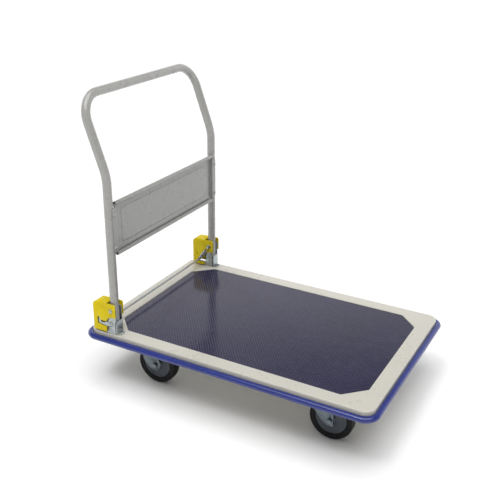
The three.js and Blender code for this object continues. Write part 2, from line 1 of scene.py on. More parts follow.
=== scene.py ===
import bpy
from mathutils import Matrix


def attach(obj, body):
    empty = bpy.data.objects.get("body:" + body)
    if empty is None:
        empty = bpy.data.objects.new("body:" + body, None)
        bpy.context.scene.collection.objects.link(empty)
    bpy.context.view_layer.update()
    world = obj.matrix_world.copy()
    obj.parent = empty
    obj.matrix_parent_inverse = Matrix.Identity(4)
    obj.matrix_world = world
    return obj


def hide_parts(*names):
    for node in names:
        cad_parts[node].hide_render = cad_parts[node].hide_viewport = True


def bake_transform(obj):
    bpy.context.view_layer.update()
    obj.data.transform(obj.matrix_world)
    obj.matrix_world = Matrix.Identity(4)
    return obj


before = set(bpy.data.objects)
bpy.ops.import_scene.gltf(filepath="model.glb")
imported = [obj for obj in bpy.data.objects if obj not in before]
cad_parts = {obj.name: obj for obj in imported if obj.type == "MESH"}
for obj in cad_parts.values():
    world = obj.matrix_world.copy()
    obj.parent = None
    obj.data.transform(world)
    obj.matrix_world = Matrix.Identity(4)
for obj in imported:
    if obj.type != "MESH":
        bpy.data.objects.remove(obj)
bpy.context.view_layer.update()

import math

import bmesh
import bpy
import numpy as np
from mathutils import Matrix, Vector

MM = 0.001
scene = bpy.context.scene
scene.view_settings.view_transform = "Standard"
scene.view_settings.look = "None"

# ------------------------------------------------------------------ sizes, in millimetres, as in the CAD
DECK_TOP, DECK_L, DECK_W, SKIRT, DECK_R, EDGE, SHEET = 175.0, 880.0, 578.0, 30.0, 31.0, 2.2, 2.4
MAT_X0, MAT_X1, MAT_Y, MAT_C, RECESS = -385.0, 394.5, 245.0, 55.5, 3.6
MEMBER_Z, MEMBER_W, MEMBER_HALF = 155.0, 112.0, 286.0
WHEEL_R, WHEEL_Y = 62.5, 195.0
FRONT_AXLE_X, REAR_AXLE_X, REAR_SWIVEL_X, FRONT_PLATE_X = 302.5, -259.0, -295.0, 280.0
CHEEK_IN, CHEEK_T = 19.5, 2.5
LEG_X, LEG_Y, TUBE_R, TUBE_WALL = -354.6, 270.0, 12.7, 1.8
PIVOT_Z, FOOT_Z = 250.0, 196.0
BEND_Z, BEND_R, BAR_X, BAR_Z, CORNER_R = 647.6, 150.0, -428.9, 855.2, 72.0
PANEL_TOP, PANEL_BOT, HEM_R, PANEL_HALF = 569.5, 421.0, 5.6, 255.0
RIVET_Z, RIVET_Y, FLANGE_Y, PANEL_SET = (443.6, 541.0), 266.5, 272.0, 3.4
COVER_HALF, COVER_WALL = 19.4, 1.8
ROD_X, ROD_Z, ROD_R = -390.0, 200.0, 4.0
LEVER_X, LEVER_Z = -360.0, 205.0
SIDES = (("right", -1), ("left", 1))


# ------------------------------------------------------------------ mesh tools
def add_object(name, me):
    o = bpy.data.objects.new(name, me)
    scene.collection.objects.link(o)
    return o


def from_bm(name, bm, scale=MM, normals=True):
    if scale != 1:
        bmesh.ops.scale(bm, vec=(scale,) * 3, verts=bm.verts)
    bmesh.ops.remove_doubles(bm, verts=bm.verts, dist=2e-6)
    if normals:
        bmesh.ops.recalc_face_normals(bm, faces=bm.faces)
    me = bpy.data.meshes.new(name)
    bm.to_mesh(me)
    bm.free()
    return add_object(name, me)


def finish_mesh(o, angle=35.0):
    """Smooth shading with creases sharper than the angle kept."""
    me = o.data
    me.polygons.foreach_set("use_smooth", [True] * len(me.polygons))
    me.set_sharp_from_angle(angle=math.radians(angle))
    me.update()
    return o


def bake(o):
    dg = bpy.context.evaluated_depsgraph_get()
    me = bpy.data.meshes.new_from_object(o.evaluated_get(dg), preserve_all_data_layers=True, depsgraph=dg)
    o.modifiers.clear()
    old, o.data = o.data, me
    bpy.data.meshes.remove(old)
    return o


def bevel(o, width, segments=2, angle=32.0):
    """Rounded edges of real width, with flat faces kept flat in the shading."""
    o.data.polygons.foreach_set("use_smooth", [True] * len(o.data.polygons))
    m = o.modifiers.new("edge", "BEVEL")
    m.width, m.segments, m.limit_method, m.angle_limit = width * MM, segments, "ANGLE", math.radians(angle)
    m.harden_normals, m.use_clamp_overlap, m.miter_outer = True, True, "MITER_ARC"
    return bake(o)


def join(name, *objs):
    """One object from several, with their meshes simply side by side."""
    bm = bmesh.new()
    for o in objs:
        o.data.transform(o.matrix_world)
        bm.from_mesh(o.data)
    me = bpy.data.meshes.new(name)
    bm.to_mesh(me)
    bm.free()
    for o in objs:
        old = o.data
        bpy.data.objects.remove(o)
        bpy.data.meshes.remove(old)
    return add_object(name, me)


def boolean(o, *others, operation="DIFFERENCE"):
    for c in others:
        m = o.modifiers.new("b", "BOOLEAN")
        m.operation, m.solver, m.object = operation, "EXACT", c
        bake(o)
        old = c.data
        bpy.data.objects.remove(c)
        bpy.data.meshes.remove(old)
    return o


def rounded(points, steps=6):
    """Closed outline from corners given as (x, y, radius)."""
    out, n = [], len(points)
    for i in range(n):
        p = points[i]
        x, y, r = p[0], p[1], (p[2] if len(p) > 2 else 0)
        if not r:
            out.append((x, y))
            continue
        c = Vector((x, y))
        a = (Vector(points[i - 1][:2]) - c).normalized()
        b = (Vector(points[(i + 1) % n][:2]) - c).normalized()
        half = math.acos(max(-1, min(1, a.dot(b)))) / 2
        d = r / math.tan(half)
        mid = c + (a + b).normalized() * (r / math.sin(half))
        p0, p1 = c + a * d - mid, c + b * d - mid
        a0, a1 = math.atan2(p0.y, p0.x), math.atan2(p1.y, p1.x)
        if a1 - a0 > math.pi:
            a1 -= 2 * math.pi
        if a0 - a1 > math.pi:
            a1 += 2 * math.pi
        for k in range(steps + 1):
            t = a0 + (a1 - a0) * k / steps
            out.append((mid.x + r * math.cos(t), mid.y + r * math.sin(t)))
    return out


def rect(l, w, r, steps=12, cx=0.0, cy=0.0):
    return [(x + cx, y + cy) for x, y in rounded(
        [(-l / 2, -w / 2, r), (l / 2, -w / 2, r), (l / 2, w / 2, r), (-l / 2, w / 2, r)], steps)]


def ring(bm, pts):
    return [bm.verts.new(p) for p in pts]


def bridge(bm, a, b, closed=True):
    n = len(a)
    for i in range(n if closed else n - 1):
        j = (i + 1) % n
        try:
            bm.faces.new((a[i], a[j], b[j], b[i]))
        except ValueError:
            pass


def loop_edges(bm, loop):
    out = []
    for i in range(len(loop)):
        a, b = loop[i - 1], loop[i]
        e = bm.edges.get((a, b)) or bm.edges.new((a, b))
        out.append(e)
    return out


def fill(bm, *loops):
    edges = [e for l in loops for e in loop_edges(bm, l)]
    bmesh.ops.triangle_fill(bm, edges=edges, use_beauty=True, use_dissolve=False)


def prism(name, outline, a0, a1, plane="XY"):
    """Solid between a0 and a1: XY runs up Z, XZ along Y, YZ along X."""
    bm = bmesh.new()
    put = {"XY": lambda p, a: (p[0], p[1], a), "XZ": lambda p, a: (p[0], a, p[1]), "YZ": lambda p, a: (a, p[0], p[1])}[plane]
    lo, hi = ring(bm, [put(p, a0) for p in outline]), ring(bm, [put(p, a1) for p in outline])
    bridge(bm, lo, hi)
    bm.faces.new(lo[::-1])
    bm.faces.new(hi)
    return from_bm(name, bm)


def loft(name, rings, close_v=False, caps=True):
    bm = bmesh.new()
    rr = [ring(bm, r) for r in rings]
    for a, b in zip(rr, rr[1:]):
        bridge(bm, a, b)
    if close_v:
        bridge(bm, rr[-1], rr[0])
    elif caps:
        bm.faces.new(rr[0][::-1])
        bm.faces.new(rr[-1])
    return from_bm(name, bm)


def lathe(name, profile, segments=48, axis="Y", at=(0, 0, 0), flip=1):
    """Turned solid: profile of (radius, height) along the axis, closed on itself or on the axis."""
    bm = bmesh.new()

    def put(r, h, t):
        c, s = r * math.cos(t), r * math.sin(t)
        h *= flip
        p = {"X": (h, c, s), "Y": (c, h, s), "Z": (c, s, h)}[axis]
        return (p[0] + at[0], p[1] + at[1], p[2] + at[2])

    rings, n = [], len(profile)
    for r, h in profile:
        if r < 1e-6:
            rings.append([bm.verts.new(put(0, h, 0))])
        else:
            rings.append(ring(bm, [put(r, h, 2 * math.pi * k / segments) for k in range(segments)]))
    on_axis = profile[0][0] < 1e-6 and profile[-1][0] < 1e-6
    for i in range(n - 1 if on_axis else n):
        a, b = rings[i], rings[(i + 1) % n]
        if len(a) == 1 and len(b) == 1:
            continue
        for k in range(segments):
            j = (k + 1) % segments
            f = [x for x in (a[0] if len(a) == 1 else a[k], None if len(a) == 1 else a[j],
                             None if len(b) == 1 else b[j], b[0] if len(b) == 1 else b[k]) if x is not None]
            bm.faces.new(f)
    return from_bm(name, bm)


def sweep(name, path, radius, sides=12, caps=True, closed=False, inner=None):
    """Round section carried along a path without twist; radius may be one number for each point."""
    p = [Vector(q) for q in path]
    n = len(p)
    radii = radius if isinstance(radius, (list, tuple)) else [radius] * n
    tan = []
    for i in range(n):
        a, b = p[i - 1] if i or closed else p[i], p[(i + 1) % n] if i < n - 1 or closed else p[i]
        tan.append((b - a).normalized())
    ref = Vector((0, 1, 0)) if abs(tan[0].y) < 0.9 else Vector((1, 0, 0))
    u = (ref - tan[0] * ref.dot(tan[0])).normalized()
    frames = []
    for i in range(n):
        if i:
            q = tan[i - 1].rotation_difference(tan[i])
            u = q @ u
            u = (u - tan[i] * u.dot(tan[i])).normalized()
        frames.append((u.copy(), tan[i].cross(u)))
    bm = bmesh.new()

    def rings_of(scale):
        return [ring(bm, [p[i] + (frames[i][0] * math.cos(2 * math.pi * k / sides)
                                 + frames[i][1] * math.sin(2 * math.pi * k / sides)) * scale(i)
                          for k in range(sides)]) for i in range(n)]

    outer = rings_of(lambda i: radii[i])
    for a, b in zip(outer, outer[1:]):
        bridge(bm, a, b)
    if inner:
        inside = rings_of(lambda i: inner)
        for a, b in zip(inside, inside[1:]):
            bridge(bm, b, a)
        bridge(bm, inside[0], outer[0])
        bridge(bm, outer[-1], inside[-1])
    elif closed:
        bridge(bm, outer[-1], outer[0])
    elif caps:
        bm.faces.new(outer[0][::-1])
        bm.faces.new(outer[-1])
    return from_bm(name, bm)


def cylinder(name, r, y0, y1, x, z, axis="Y", sides=32, y=0.0):
    if axis == "Y":
        return lathe(name, [(0, y0), (r, y0), (r, y1), (0, y1)], sides, "Y", (x, 0, z))
    if axis == "X":
        return lathe(name, [(0, y0), (r, y0), (r, y1), (0, y1)], sides, "X", (0, y, z))
    return lathe(name, [(0, y0), (r, y0), (r, y1), (0, y1)], sides, "Z", (x, y, 0))


def arc(cx, cy, r, a0, a1, n):
    return [(cx + r * math.cos(math.radians(a0 + (a1 - a0) * k / n)), cy + r * math.sin(math.radians(a0 + (a1 - a0) * k / n))) for k in range(n + 1)]


# ------------------------------------------------------------------ materials
class Shader:
    """Small builder for one procedural material."""

    def __init__(self, name, base, roughness, metallic=0.0, ior=1.5, coat=0.0, coat_roughness=0.1, specular=None):
        self.m = bpy.data.materials.new(name)
        self.m.use_nodes = True
        self.t = self.m.node_tree
        self.t.nodes.clear()
        self.out = self.t.nodes.new("ShaderNodeOutputMaterial")
        self.b = self.t.nodes.new("ShaderNodeBsdfPrincipled")
        self.t.links.new(self.b.outputs[0], self.out.inputs[0])
        self.b.inputs["Base Color"].default_value = (*base, 1)
        self.b.inputs["Roughness"].default_value = roughness
        self.b.inputs["Metallic"].default_value = metallic
        self.b.inputs["IOR"].default_value = ior
        self.b.inputs["Coat Weight"].default_value = coat
        self.b.inputs["Coat Roughness"].default_value = coat_roughness
        if specular is not None:
            self.b.inputs["Specular IOR Level"].default_value = specular
        self.co = self.t.nodes.new("ShaderNodeTexCoord").outputs["Object"]
        self.height = None

    def node(self, kind, **values):
        n = self.t.nodes.new(kind)
        for k, v in values.items():
            if k.startswith("_"):
                setattr(n, k[1:], v)
        return n

    def link(self, a, b):
        self.t.links.new(a, b)

    def mapped(self, scale):
        n = self.node("ShaderNodeMapping")
        n.inputs["Scale"].default_value = scale
        self.link(self.co, n.inputs["Vector"])
        return n.outputs[0]

    def noise(self, scale, detail=3.0, rough=0.5, distortion=0.0, vector=None):
        n = self.node("ShaderNodeTexNoise")
        n.inputs["Scale"].default_value = scale
        n.inputs["Detail"].default_value = detail
        n.inputs["Roughness"].default_value = rough
        n.inputs["Distortion"].default_value = distortion
        self.link(vector or self.co, n.inputs["Vector"])
        return n.outputs[0]

    def cells(self, scale, feature="F1", vector=None):
        n = self.node("ShaderNodeTexVoronoi", _feature=feature)
        n.inputs["Scale"].default_value = scale
        self.link(vector or self.co, n.inputs["Vector"])
        return n.outputs[0]

    def ramp(self, value, *stops):
        """stops are (position, colour triple or number)."""
        n = self.node("ShaderNodeValToRGB")
        e = n.color_ramp.elements
        while len(e) < len(stops):
            e.new(0.5)
        for el, (at, c) in zip(e, stops):
            el.position = at
            el.color = (*c, 1) if isinstance(c, (tuple, list)) else (c, c, c, 1)
        self.link(value, n.inputs[0])
        return n.outputs[0]

    def span(self, value, a0, a1, b0, b1):
        n = self.node("ShaderNodeMapRange")
        for i, v in zip((1, 2, 3, 4), (a0, a1, b0, b1)):
            n.inputs[i].default_value = v
        self.link(value, n.inputs[0])
        return n.outputs[0]

    def mix(self, factor, a, b, blend="MIX"):
        n = self.node("ShaderNodeMix", _data_type="RGBA", _blend_type=blend)
        for sock, v in ((n.inputs[0], factor), (n.inputs[6], a), (n.inputs[7], b)):
            if isinstance(v, (int, float)):
                sock.default_value = v if sock.type == "VALUE" else (v, v, v, 1)
            elif isinstance(v, (tuple, list)):
                sock.default_value = (*v, 1)
            else:
                self.link(v, sock)
        return n.outputs[2]

    def math(self, op, a, b=None):
        n = self.node("ShaderNodeMath", _operation=op)
        for sock, v in ((n.inputs[0], a), (n.inputs[1], b)):
            if v is None:
                continue
            if isinstance(v, (int, float)):
                sock.default_value = v
            else:
                self.link(v, sock)
        return n.outputs[0]

    def axis(self, which):
        n = self.node("ShaderNodeSeparateXYZ")
        self.link(self.co, n.inputs[0])
        return n.outputs[which]

    def pointiness(self):
        return self.node("ShaderNodeNewGeometry").outputs["Pointiness"]

    def color(self, c):
        self.link(c, self.b.inputs["Base Color"])

    def rough(self, r):
        self.link(r, self.b.inputs["Roughness"])

    def bump(self, height, distance, strength=1.0):
        n = self.node("ShaderNodeBump")
        n.inputs["Strength"].default_value = strength
        n.inputs["Distance"].default_value = distance
        self.link(height, n.inputs["Height"])
        if self.height is not None:
            self.link(self.height, n.inputs["Normal"])
        self.height = n.outputs[0]
        self.link(self.height, self.b.inputs["Normal"])
        if self.b.inputs["Coat Weight"].default_value > 0:
            self.link(self.height, self.b.inputs["Coat Normal"])


def shade(c, k):
    return tuple(max(0.0, min(1.0, x * k)) for x in c)


def powder_coat(name, base, roughness=0.36, coat=0.25):
    s = Shader(name, base, roughness, coat=coat, coat_roughness=0.16)
    broad = s.noise(3.2, 3, 0.55)
    fine = s.noise(140, 3, 0.6)
    tint = s.ramp(broad, (0.3, shade(base, 0.955)), (0.55, base), (0.75, shade(base, 1.03)))
    grime = s.ramp(s.noise(19, 6, 0.68, 0.4), (0.56, 0.0), (0.78, 1.0))
    tint = s.mix(s.math("MULTIPLY", grime, 0.022), tint, shade((base[0], base[1] * 0.93, base[2] * 0.82), 0.62))
    specks = s.ramp(s.cells(420), (0.0, 1.0), (0.035, 0.0))
    tint = s.mix(s.math("MULTIPLY", s.math("MULTIPLY", specks, grime), 0.12), tint, shade(base, 0.6))
    worn = s.math("MULTIPLY", s.ramp(s.pointiness(), (0.58, 0.0), (0.68, 1.0)), s.ramp(s.noise(60, 5, 0.7), (0.52, 0.0), (0.66, 1.0)))
    tint = s.mix(s.math("MULTIPLY", worn, 0.05), tint, (0.33, 0.32, 0.30))
    s.color(tint)
    s.rough(s.math("ADD", s.span(s.noise(26, 4, 0.6), 0.3, 0.7, roughness - 0.06, roughness + 0.07), s.math("MULTIPLY", grime, 0.03)))
    s.bump(fine, 0.00012, 0.5)
    s.bump(s.noise(620, 2, 0.5), 0.00006, 0.6)
    s.bump(s.noise(5.0, 2, 0.5), 0.0010, 0.4)
    return s.m


def mat_vinyl():
    base = (0.0085, 0.0070, 0.0440)
    s = Shader("mat_vinyl", base, 0.18, ior=1.5)
    z = s.span(s.axis(2), 0.17336, 0.17368, 0.0, 1.0)
    broad = s.noise(5.5, 5, 0.62, 0.3)
    top = s.ramp(broad, (0.3, shade(base, 0.82)), (0.55, base), (0.78, (0.0135, 0.0120, 0.049)))
    groove = s.ramp(s.noise(34, 5, 0.65), (0.35, (0.006, 0.005, 0.018)), (0.75, (0.020, 0.018, 0.038)))
    c = s.mix(z, groove, top)
    dust = s.ramp(s.noise(12, 8, 0.72, 0.6), (0.57, 0.0), (0.80, 1.0))
    c = s.mix(s.math("MULTIPLY", dust, 0.10), c, (0.16, 0.155, 0.15))
    scuff = s.ramp(s.noise(1.0, 6, 0.6, 0.2, s.mapped((14, 110, 30))), (0.60, 0.0), (0.72, 1.0))
    c = s.mix(s.math("MULTIPLY", s.math("MULTIPLY", scuff, z), 0.10), c, (0.11, 0.11, 0.13))
    s.color(c)
    r = s.span(broad, 0.3, 0.7, 0.11, 0.17)
    r = s.math("ADD", r, s.math("MULTIPLY", scuff, 0.10))
    s.rough(s.math("ADD", r, s.math("MULTIPLY", s.math("SUBTRACT", 1.0, z), 0.25)))
    s.bump(s.noise(900, 2, 0.5), 0.00005, 0.5)
    s.bump(s.noise(30, 2, 0.5), 0.0004, 0.35)
    return s.m


def bumper_blue():
    base = (0.016, 0.029, 0.205)
    s = Shader("blue_bumper", base, 0.24, ior=1.5, coat=0.30, coat_roughness=0.10)
    broad = s.noise(7, 4, 0.6)
    c = s.ramp(broad, (0.3, shade(base, 0.82)), (0.6, base), (0.8, shade(base, 1.14)))
    scrape = s.ramp(s.noise(1.0, 7, 0.66, 0.2, s.mapped((9, 9, 700))), (0.60, 0.0), (0.70, 1.0))
    c = s.mix(s.math("MULTIPLY", scrape, 0.14), c, (0.07, 0.09, 0.27))
    s.color(c)
    s.rough(s.math("ADD", s.span(s.noise(45, 4, 0.6), 0.3, 0.7, 0.16, 0.26), s.math("MULTIPLY", scrape, 0.2)))
    s.bump(s.noise(1.0, 3, 0.5, 0.0, s.mapped((6, 6, 900))), 0.00009, 0.5)
    s.bump(s.noise(240, 2, 0.5), 0.00005, 0.4)
    return s.m


def moulded(name, base, roughness, grain=520, depth=0.00008, dusty=0.05, coat=0.0, specular=0.5):
    s = Shader(name, base, roughness, coat=coat, coat_roughness=0.2, specular=specular)
    c = s.ramp(s.noise(22, 4, 0.6), (0.3, shade(base, 0.90)), (0.55, base), (0.8, shade(base, 1.06)))
    soil = s.ramp(s.noise(75, 6, 0.7), (0.52, 0.0), (0.75, 1.0))
    c = s.mix(s.math("MULTIPLY", soil, dusty), c, shade((0.5 * base[0] + 0.06, 0.5 * base[1] + 0.06, 0.5 * base[2] + 0.05), 0.8))
    worn = s.math("MULTIPLY", s.ramp(s.pointiness(), (0.52, 0.0), (0.62, 1.0)), s.ramp(s.noise(160, 4, 0.6), (0.45, 0.2), (0.65, 1.0)))
    c = s.mix(s.math("MULTIPLY", worn, 0.22), c, tuple(min(1, x * 1.15 + 0.035) for x in base))
    s.color(c)
    s.rough(s.span(s.noise(60, 4, 0.6), 0.3, 0.7, roughness - 0.06, roughness + 0.09))
    s.bump(s.noise(grain, 3, 0.55), depth, 0.6)
    s.bump(s.noise(26, 2, 0.5), 0.0003, 0.3)
    return s.m


def zinc_plate(name="zinc_plate", base=(0.45, 0.49, 0.50), rough=0.30):
    s = Shader(name, base, rough, metallic=1.0)
    bloom = s.noise(55, 4, 0.6, 0.8)
    c = s.ramp(bloom, (0.28, (base[0] * 0.86, base[1] * 0.93, base[2])), (0.5, base), (0.72, (base[0] * 1.08, base[1] * 1.03, base[2] * 0.86)))
    c = s.mix(s.math("MULTIPLY", s.ramp(s.cells(900), (0.0, 0.0), (0.8, 1.0)), 0.12), c, shade(base, 0.6))
    dull = s.ramp(s.noise(130, 6, 0.7), (0.52, 0.0), (0.72, 1.0))
    c = s.mix(s.math("MULTIPLY", dull, 0.28), c, shade(base, 0.58))
    s.color(c)
    s.rough(s.math("ADD", s.span(s.noise(180, 4, 0.6), 0.3, 0.7, rough - 0.07, rough + 0.10), s.math("MULTIPLY", dull, 0.16)))
    s.bump(s.noise(700, 3, 0.5), 0.00005, 0.5)
    s.bump(s.noise(60, 2, 0.5), 0.0002, 0.4)
    return s.m


def drawn_steel(name="bare_steel", base=(0.40, 0.405, 0.40), rough=0.32, along="Y"):
    s = Shader(name, base, rough, metallic=1.0)
    stretch = {"X": (6, 900, 900), "Y": (900, 6, 900), "Z": (900, 900, 6)}[along]
    lines = s.noise(1.0, 3, 0.6, 0.0, s.mapped(stretch))
    c = s.ramp(lines, (0.3, shade(base, 0.78)), (0.6, base), (0.8, shade(base, 1.15)))
    stain = s.ramp(s.noise(45, 6, 0.7), (0.54, 0.0), (0.78, 1.0))
    c = s.mix(s.math("MULTIPLY", stain, 0.35), c, (0.17, 0.145, 0.12))
    s.color(c)
    s.rough(s.math("ADD", s.span(lines, 0.3, 0.7, rough - 0.06, rough + 0.10), s.math("MULTIPLY", stain, 0.2)))
    s.bump(lines, 0.00003, 0.6)
    s.bump(s.noise(320, 3, 0.6), 0.00004, 0.5)
    return s.m


def tyre_rubber():
    base = (0.0065, 0.0065, 0.0072)
    s = Shader("tyre_rubber", base, 0.6, specular=0.2)
    c = s.ramp(s.noise(30, 5, 0.65), (0.3, shade(base, 0.75)), (0.55, base), (0.8, (0.011, 0.0108, 0.0105)))
    dust = s.ramp(s.noise(90, 7, 0.72), (0.50, 0.0), (0.76, 1.0))
    c = s.mix(s.math("MULTIPLY", dust, 0.12), c, (0.040, 0.038, 0.036))
    s.color(c)
    s.rough(s.span(dust, 0.0, 1.0, 0.46, 0.75))
    s.bump(s.noise(480, 4, 0.6), 0.00012, 0.6)
    return s.m


BEIGE = powder_coat("beige_paint", (0.530, 0.512, 0.450), 0.30, 0.4)
HANDLE = powder_coat("handle_paint", (0.362, 0.357, 0.343), 0.28, 0.6)
# panel paint: a darker copy of the handle paint, painted shade for the panel's front face, which gets less light
PANEL_PAINT_SHADED = powder_coat("panel_paint", (0.312, 0.312, 0.298), 0.29, 0.7)
MAT = mat_vinyl()
BUMPER = bumper_blue()
YELLOW = moulded("yellow_cover", (0.71, 0.555, 0.001), 0.40, 480, 0.00006, 0.01, 0.0, 0.2)
ZINC = zinc_plate()
FORK = zinc_plate("fork_zinc", (0.175, 0.205, 0.225), 0.40)
DULL = zinc_plate("dull_zinc", (0.19, 0.22, 0.235), 0.32)
STEEL = drawn_steel()
ROD = zinc_plate("plated_rod", (0.68, 0.69, 0.68), 0.36)
SPRING = drawn_steel("spring_wire", (0.42, 0.435, 0.445), 0.26)
RUBBER = tyre_rubber()
HUB = moulded("hub_plastic", (0.046, 0.056, 0.072), 0.40, 420, 0.00008, 0.25)
BLACK = moulded("black_plastic", (0.020, 0.020, 0.022), 0.5, 380, 0.0001, 0.25)
MATERIAL = {}


def place(o, material, slot, body, *nodes):
    """Gives a finished piece its material and body, and hides the CAD nodes that it stands for. The slot argument is
    not used.
    """
    o.data.materials.clear()
    o.data.materials.append(material)
    if body:
        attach(o, body)
    if nodes:
        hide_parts(*nodes)
    return o


# ------------------------------------------------------------------ camera, floor and light
def make_stage():
    az, el, roll = math.radians(28.20), math.radians(23.58), math.radians(0.76)
    back = Vector((math.sin(az) * math.cos(el), -math.cos(az) * math.cos(el), math.sin(el)))
    right = Vector((math.cos(az), math.sin(az), 0))
    up = back.cross(right)
    cx = right * math.cos(roll) + up * math.sin(roll)
    cy = up * math.cos(roll) - right * math.sin(roll)
    data = bpy.data.cameras.new("camera")
    data.lens, data.sensor_width, data.clip_end = 56.574, 36.0, 200.0
    cam = bpy.data.objects.new("camera", data)
    scene.collection.objects.link(cam)
    cam.matrix_world = Matrix(((cx.x, cy.x, back.x, 0.93155), (cx.y, cy.y, back.y, -1.85094), (cx.z, cy.z, back.z, 1.31377), (0, 0, 0, 1)))
    scene.camera = cam

    bm = bmesh.new()
    n, half = 24, 60.0
    grid = [[bm.verts.new((-half + 2 * half * i / n, -half + 2 * half * j / n, -0.0006)) for i in range(n + 1)] for j in range(n + 1)]
    for j in range(n):
        for i in range(n):
            bm.faces.new((grid[j][i], grid[j][i + 1], grid[j + 1][i + 1], grid[j + 1][i]))
    floor = from_bm("floor", bm, 1, False)
    s = Shader("floor_paper", (0.93, 0.93, 0.93), 0.75)
    s.color(s.ramp(s.noise(0.7, 3, 0.5), (0.3, (0.915, 0.916, 0.918)), (0.7, (0.935, 0.935, 0.935))))
    s.bump(s.noise(240, 3, 0.6), 0.0002, 0.15)
    floor.data.materials.append(s.m)

    world = bpy.data.worlds.new("studio")
    world.use_nodes = True
    t = world.node_tree
    co = t.nodes.new("ShaderNodeTexCoord").outputs["Generated"]
    split = t.nodes.new("ShaderNodeSeparateXYZ")
    t.links.new(co, split.inputs[0])
    low = t.nodes.new("ShaderNodeMapRange")          # bright below the height of a tall backdrop
    low.interpolation_type = "SMOOTHSTEP"
    for i, v in zip((1, 2, 3, 4), (0.43, 0.56, 1.0, 0.0)):
        low.inputs[i].default_value = v
    t.links.new(split.outputs[2], low.inputs[0])
    ahead = t.nodes.new("ShaderNodeVectorMath")      # and on the far side only
    ahead.operation = "DOT_PRODUCT"
    ahead.inputs[1].default_value = (-math.sin(az), math.cos(az), 0.0)
    t.links.new(co, ahead.inputs[0])
    wide = t.nodes.new("ShaderNodeMapRange")
    wide.interpolation_type = "SMOOTHSTEP"
    for i, v in zip((1, 2, 3, 4), (0.10, 0.62, 0.0, 1.0)):
        wide.inputs[i].default_value = v
    t.links.new(ahead.outputs["Value"], wide.inputs[0])
    both = t.nodes.new("ShaderNodeMath")
    both.operation = "MULTIPLY"
    t.links.new(low.outputs[0], both.inputs[0])
    t.links.new(wide.outputs[0], both.inputs[1])
    rim = t.nodes.new("ShaderNodeMapRange")          # thin pale band at the horizon, all the way round
    rim.interpolation_type = "SMOOTHSTEP"
    for i, v in zip((1, 2, 3, 4), (0.045, 0.13, 1.0, 0.0)):
        rim.inputs[i].default_value = v
    t.links.new(split.outputs[2], rim.inputs[0])
    most = t.nodes.new("ShaderNodeMath")
    most.operation = "MAXIMUM"
    t.links.new(both.outputs[0], most.inputs[0])
    t.links.new(rim.outputs[0], most.inputs[1])
    ramp = t.nodes.new("ShaderNodeValToRGB")
    ramp.color_ramp.elements[0].color = (0.18, 0.18, 0.18, 1)
    ramp.color_ramp.elements[1].color = (1.0, 1.0, 1.0, 1)
    t.links.new(most.outputs[0], ramp.inputs[0])
    t.links.new(ramp.outputs[0], t.nodes["Background"].inputs[0])
    t.nodes["Background"].inputs[1].default_value = 1.3
    scene.world = world

    def lamp(name, kind, energy, at, to, **kw):
        d = bpy.data.lights.new(name, kind)
        d.energy = energy
        for k, v in kw.items():
            setattr(d, k, v)
        o = bpy.data.objects.new(name, d)
        scene.collection.objects.link(o)
        o.location = at
        o.rotation_mode = "QUATERNION"
        o.rotation_quaternion = (Vector(to) - Vector(at)).to_track_quat("-Z", "Y")
        o.visible_camera = False
        return o

    lamp("overhead", "SUN", 2.40, (0.5, -0.7, 5.0), (0, 0, 0), angle=math.radians(62))
    lamp("glint", "SUN", 0.45, (-0.6, -1.6, 4.0), (0, 0, 0), angle=math.radians(14))


make_stage()


# ------------------------------------------------------------------ deck
def mat_outline(grow, steps=6, r=8.0):
    x0, x1, y, c = MAT_X0 - grow, MAT_X1 + grow, MAT_Y + grow, MAT_C + grow * 0.59
    return rounded([(x0 + c, -y, r), (x1 - c, -y, r), (x1, -y + c, r), (x1, y - c, r),
                    (x1 - c, y, r), (x0 + c, y, r), (x0, y - c, r), (x0, -y + c, r)], steps)


def deck_shell():
    bm = bmesh.new()

    def rr(inset, z, extra=0.0):
        return ring(bm, [(x, y, z) for x, y in rect(DECK_L - 2 * inset, DECK_W - 2 * inset, DECK_R - inset, 16)])

    def mo(grow, z, r=8.0):
        return ring(bm, [(x, y, z) for x, y in mat_outline(grow, 6, r)])

    bottom = DECK_TOP - SKIRT
    rings = [rr(SHEET, DECK_TOP - SHEET - 3), rr(SHEET, bottom + 0.7), rr(SHEET - 0.35, bottom + 0.15), rr(SHEET / 2, bottom),
             rr(0.35, bottom + 0.15), rr(0, bottom + 0.7), rr(0, bottom + 6), rr(0, DECK_TOP - EDGE - 0.6)]
    for k in range(0, 9):
        a = math.pi / 2 * k / 8
        rings.append(rr(EDGE * (1 - math.cos(a)), DECK_TOP - EDGE + EDGE * math.sin(a)))
    rings.append(rr(EDGE + 0.7, DECK_TOP))
    for a, b in zip(rings, rings[1:]):
        bridge(bm, a, b)
    # step down into the recess
    f = 1.3
    steps = [mo(0.9 + f + 0.7, DECK_TOP)]
    for k in range(0, 6):
        a = math.pi / 2 * k / 5
        steps.append(mo(0.9 + f * (1 - math.sin(a)), DECK_TOP - f * (1 - math.cos(a))))
    steps += [mo(0.8, DECK_TOP - RECESS + 0.8), mo(0.5, DECK_TOP - RECESS + 0.15), mo(0.1, DECK_TOP - RECESS)]
    for a, b in zip(steps, steps[1:]):
        bridge(bm, a, b)
    fill(bm, rings[-1], steps[0])
    bm.faces.new(steps[-1])
    # underside
    inner = rr(SHEET + 3, DECK_TOP - SHEET)
    mid = rr(SHEET + 1, DECK_TOP - SHEET - 0.9)
    bridge(bm, rings[0], mid)
    bridge(bm, mid, inner)
    u0, u1, u2, u3 = mo(5.0, DECK_TOP - SHEET), mo(3.2, DECK_TOP - SHEET - 0.7), mo(3.0, DECK_TOP - RECESS - SHEET + 0.7), mo(1.2, DECK_TOP - RECESS - SHEET)
    bridge(bm, u0, u1), bridge(bm, u1, u2), bridge(bm, u2, u3)
    fill(bm, inner, u0)
    bm.faces.new(u3)
    o = from_bm("deck_shell", bm)
    return place(finish_mesh(o, 30), BEIGE, "beige_paint", "deck", "deck_pan")


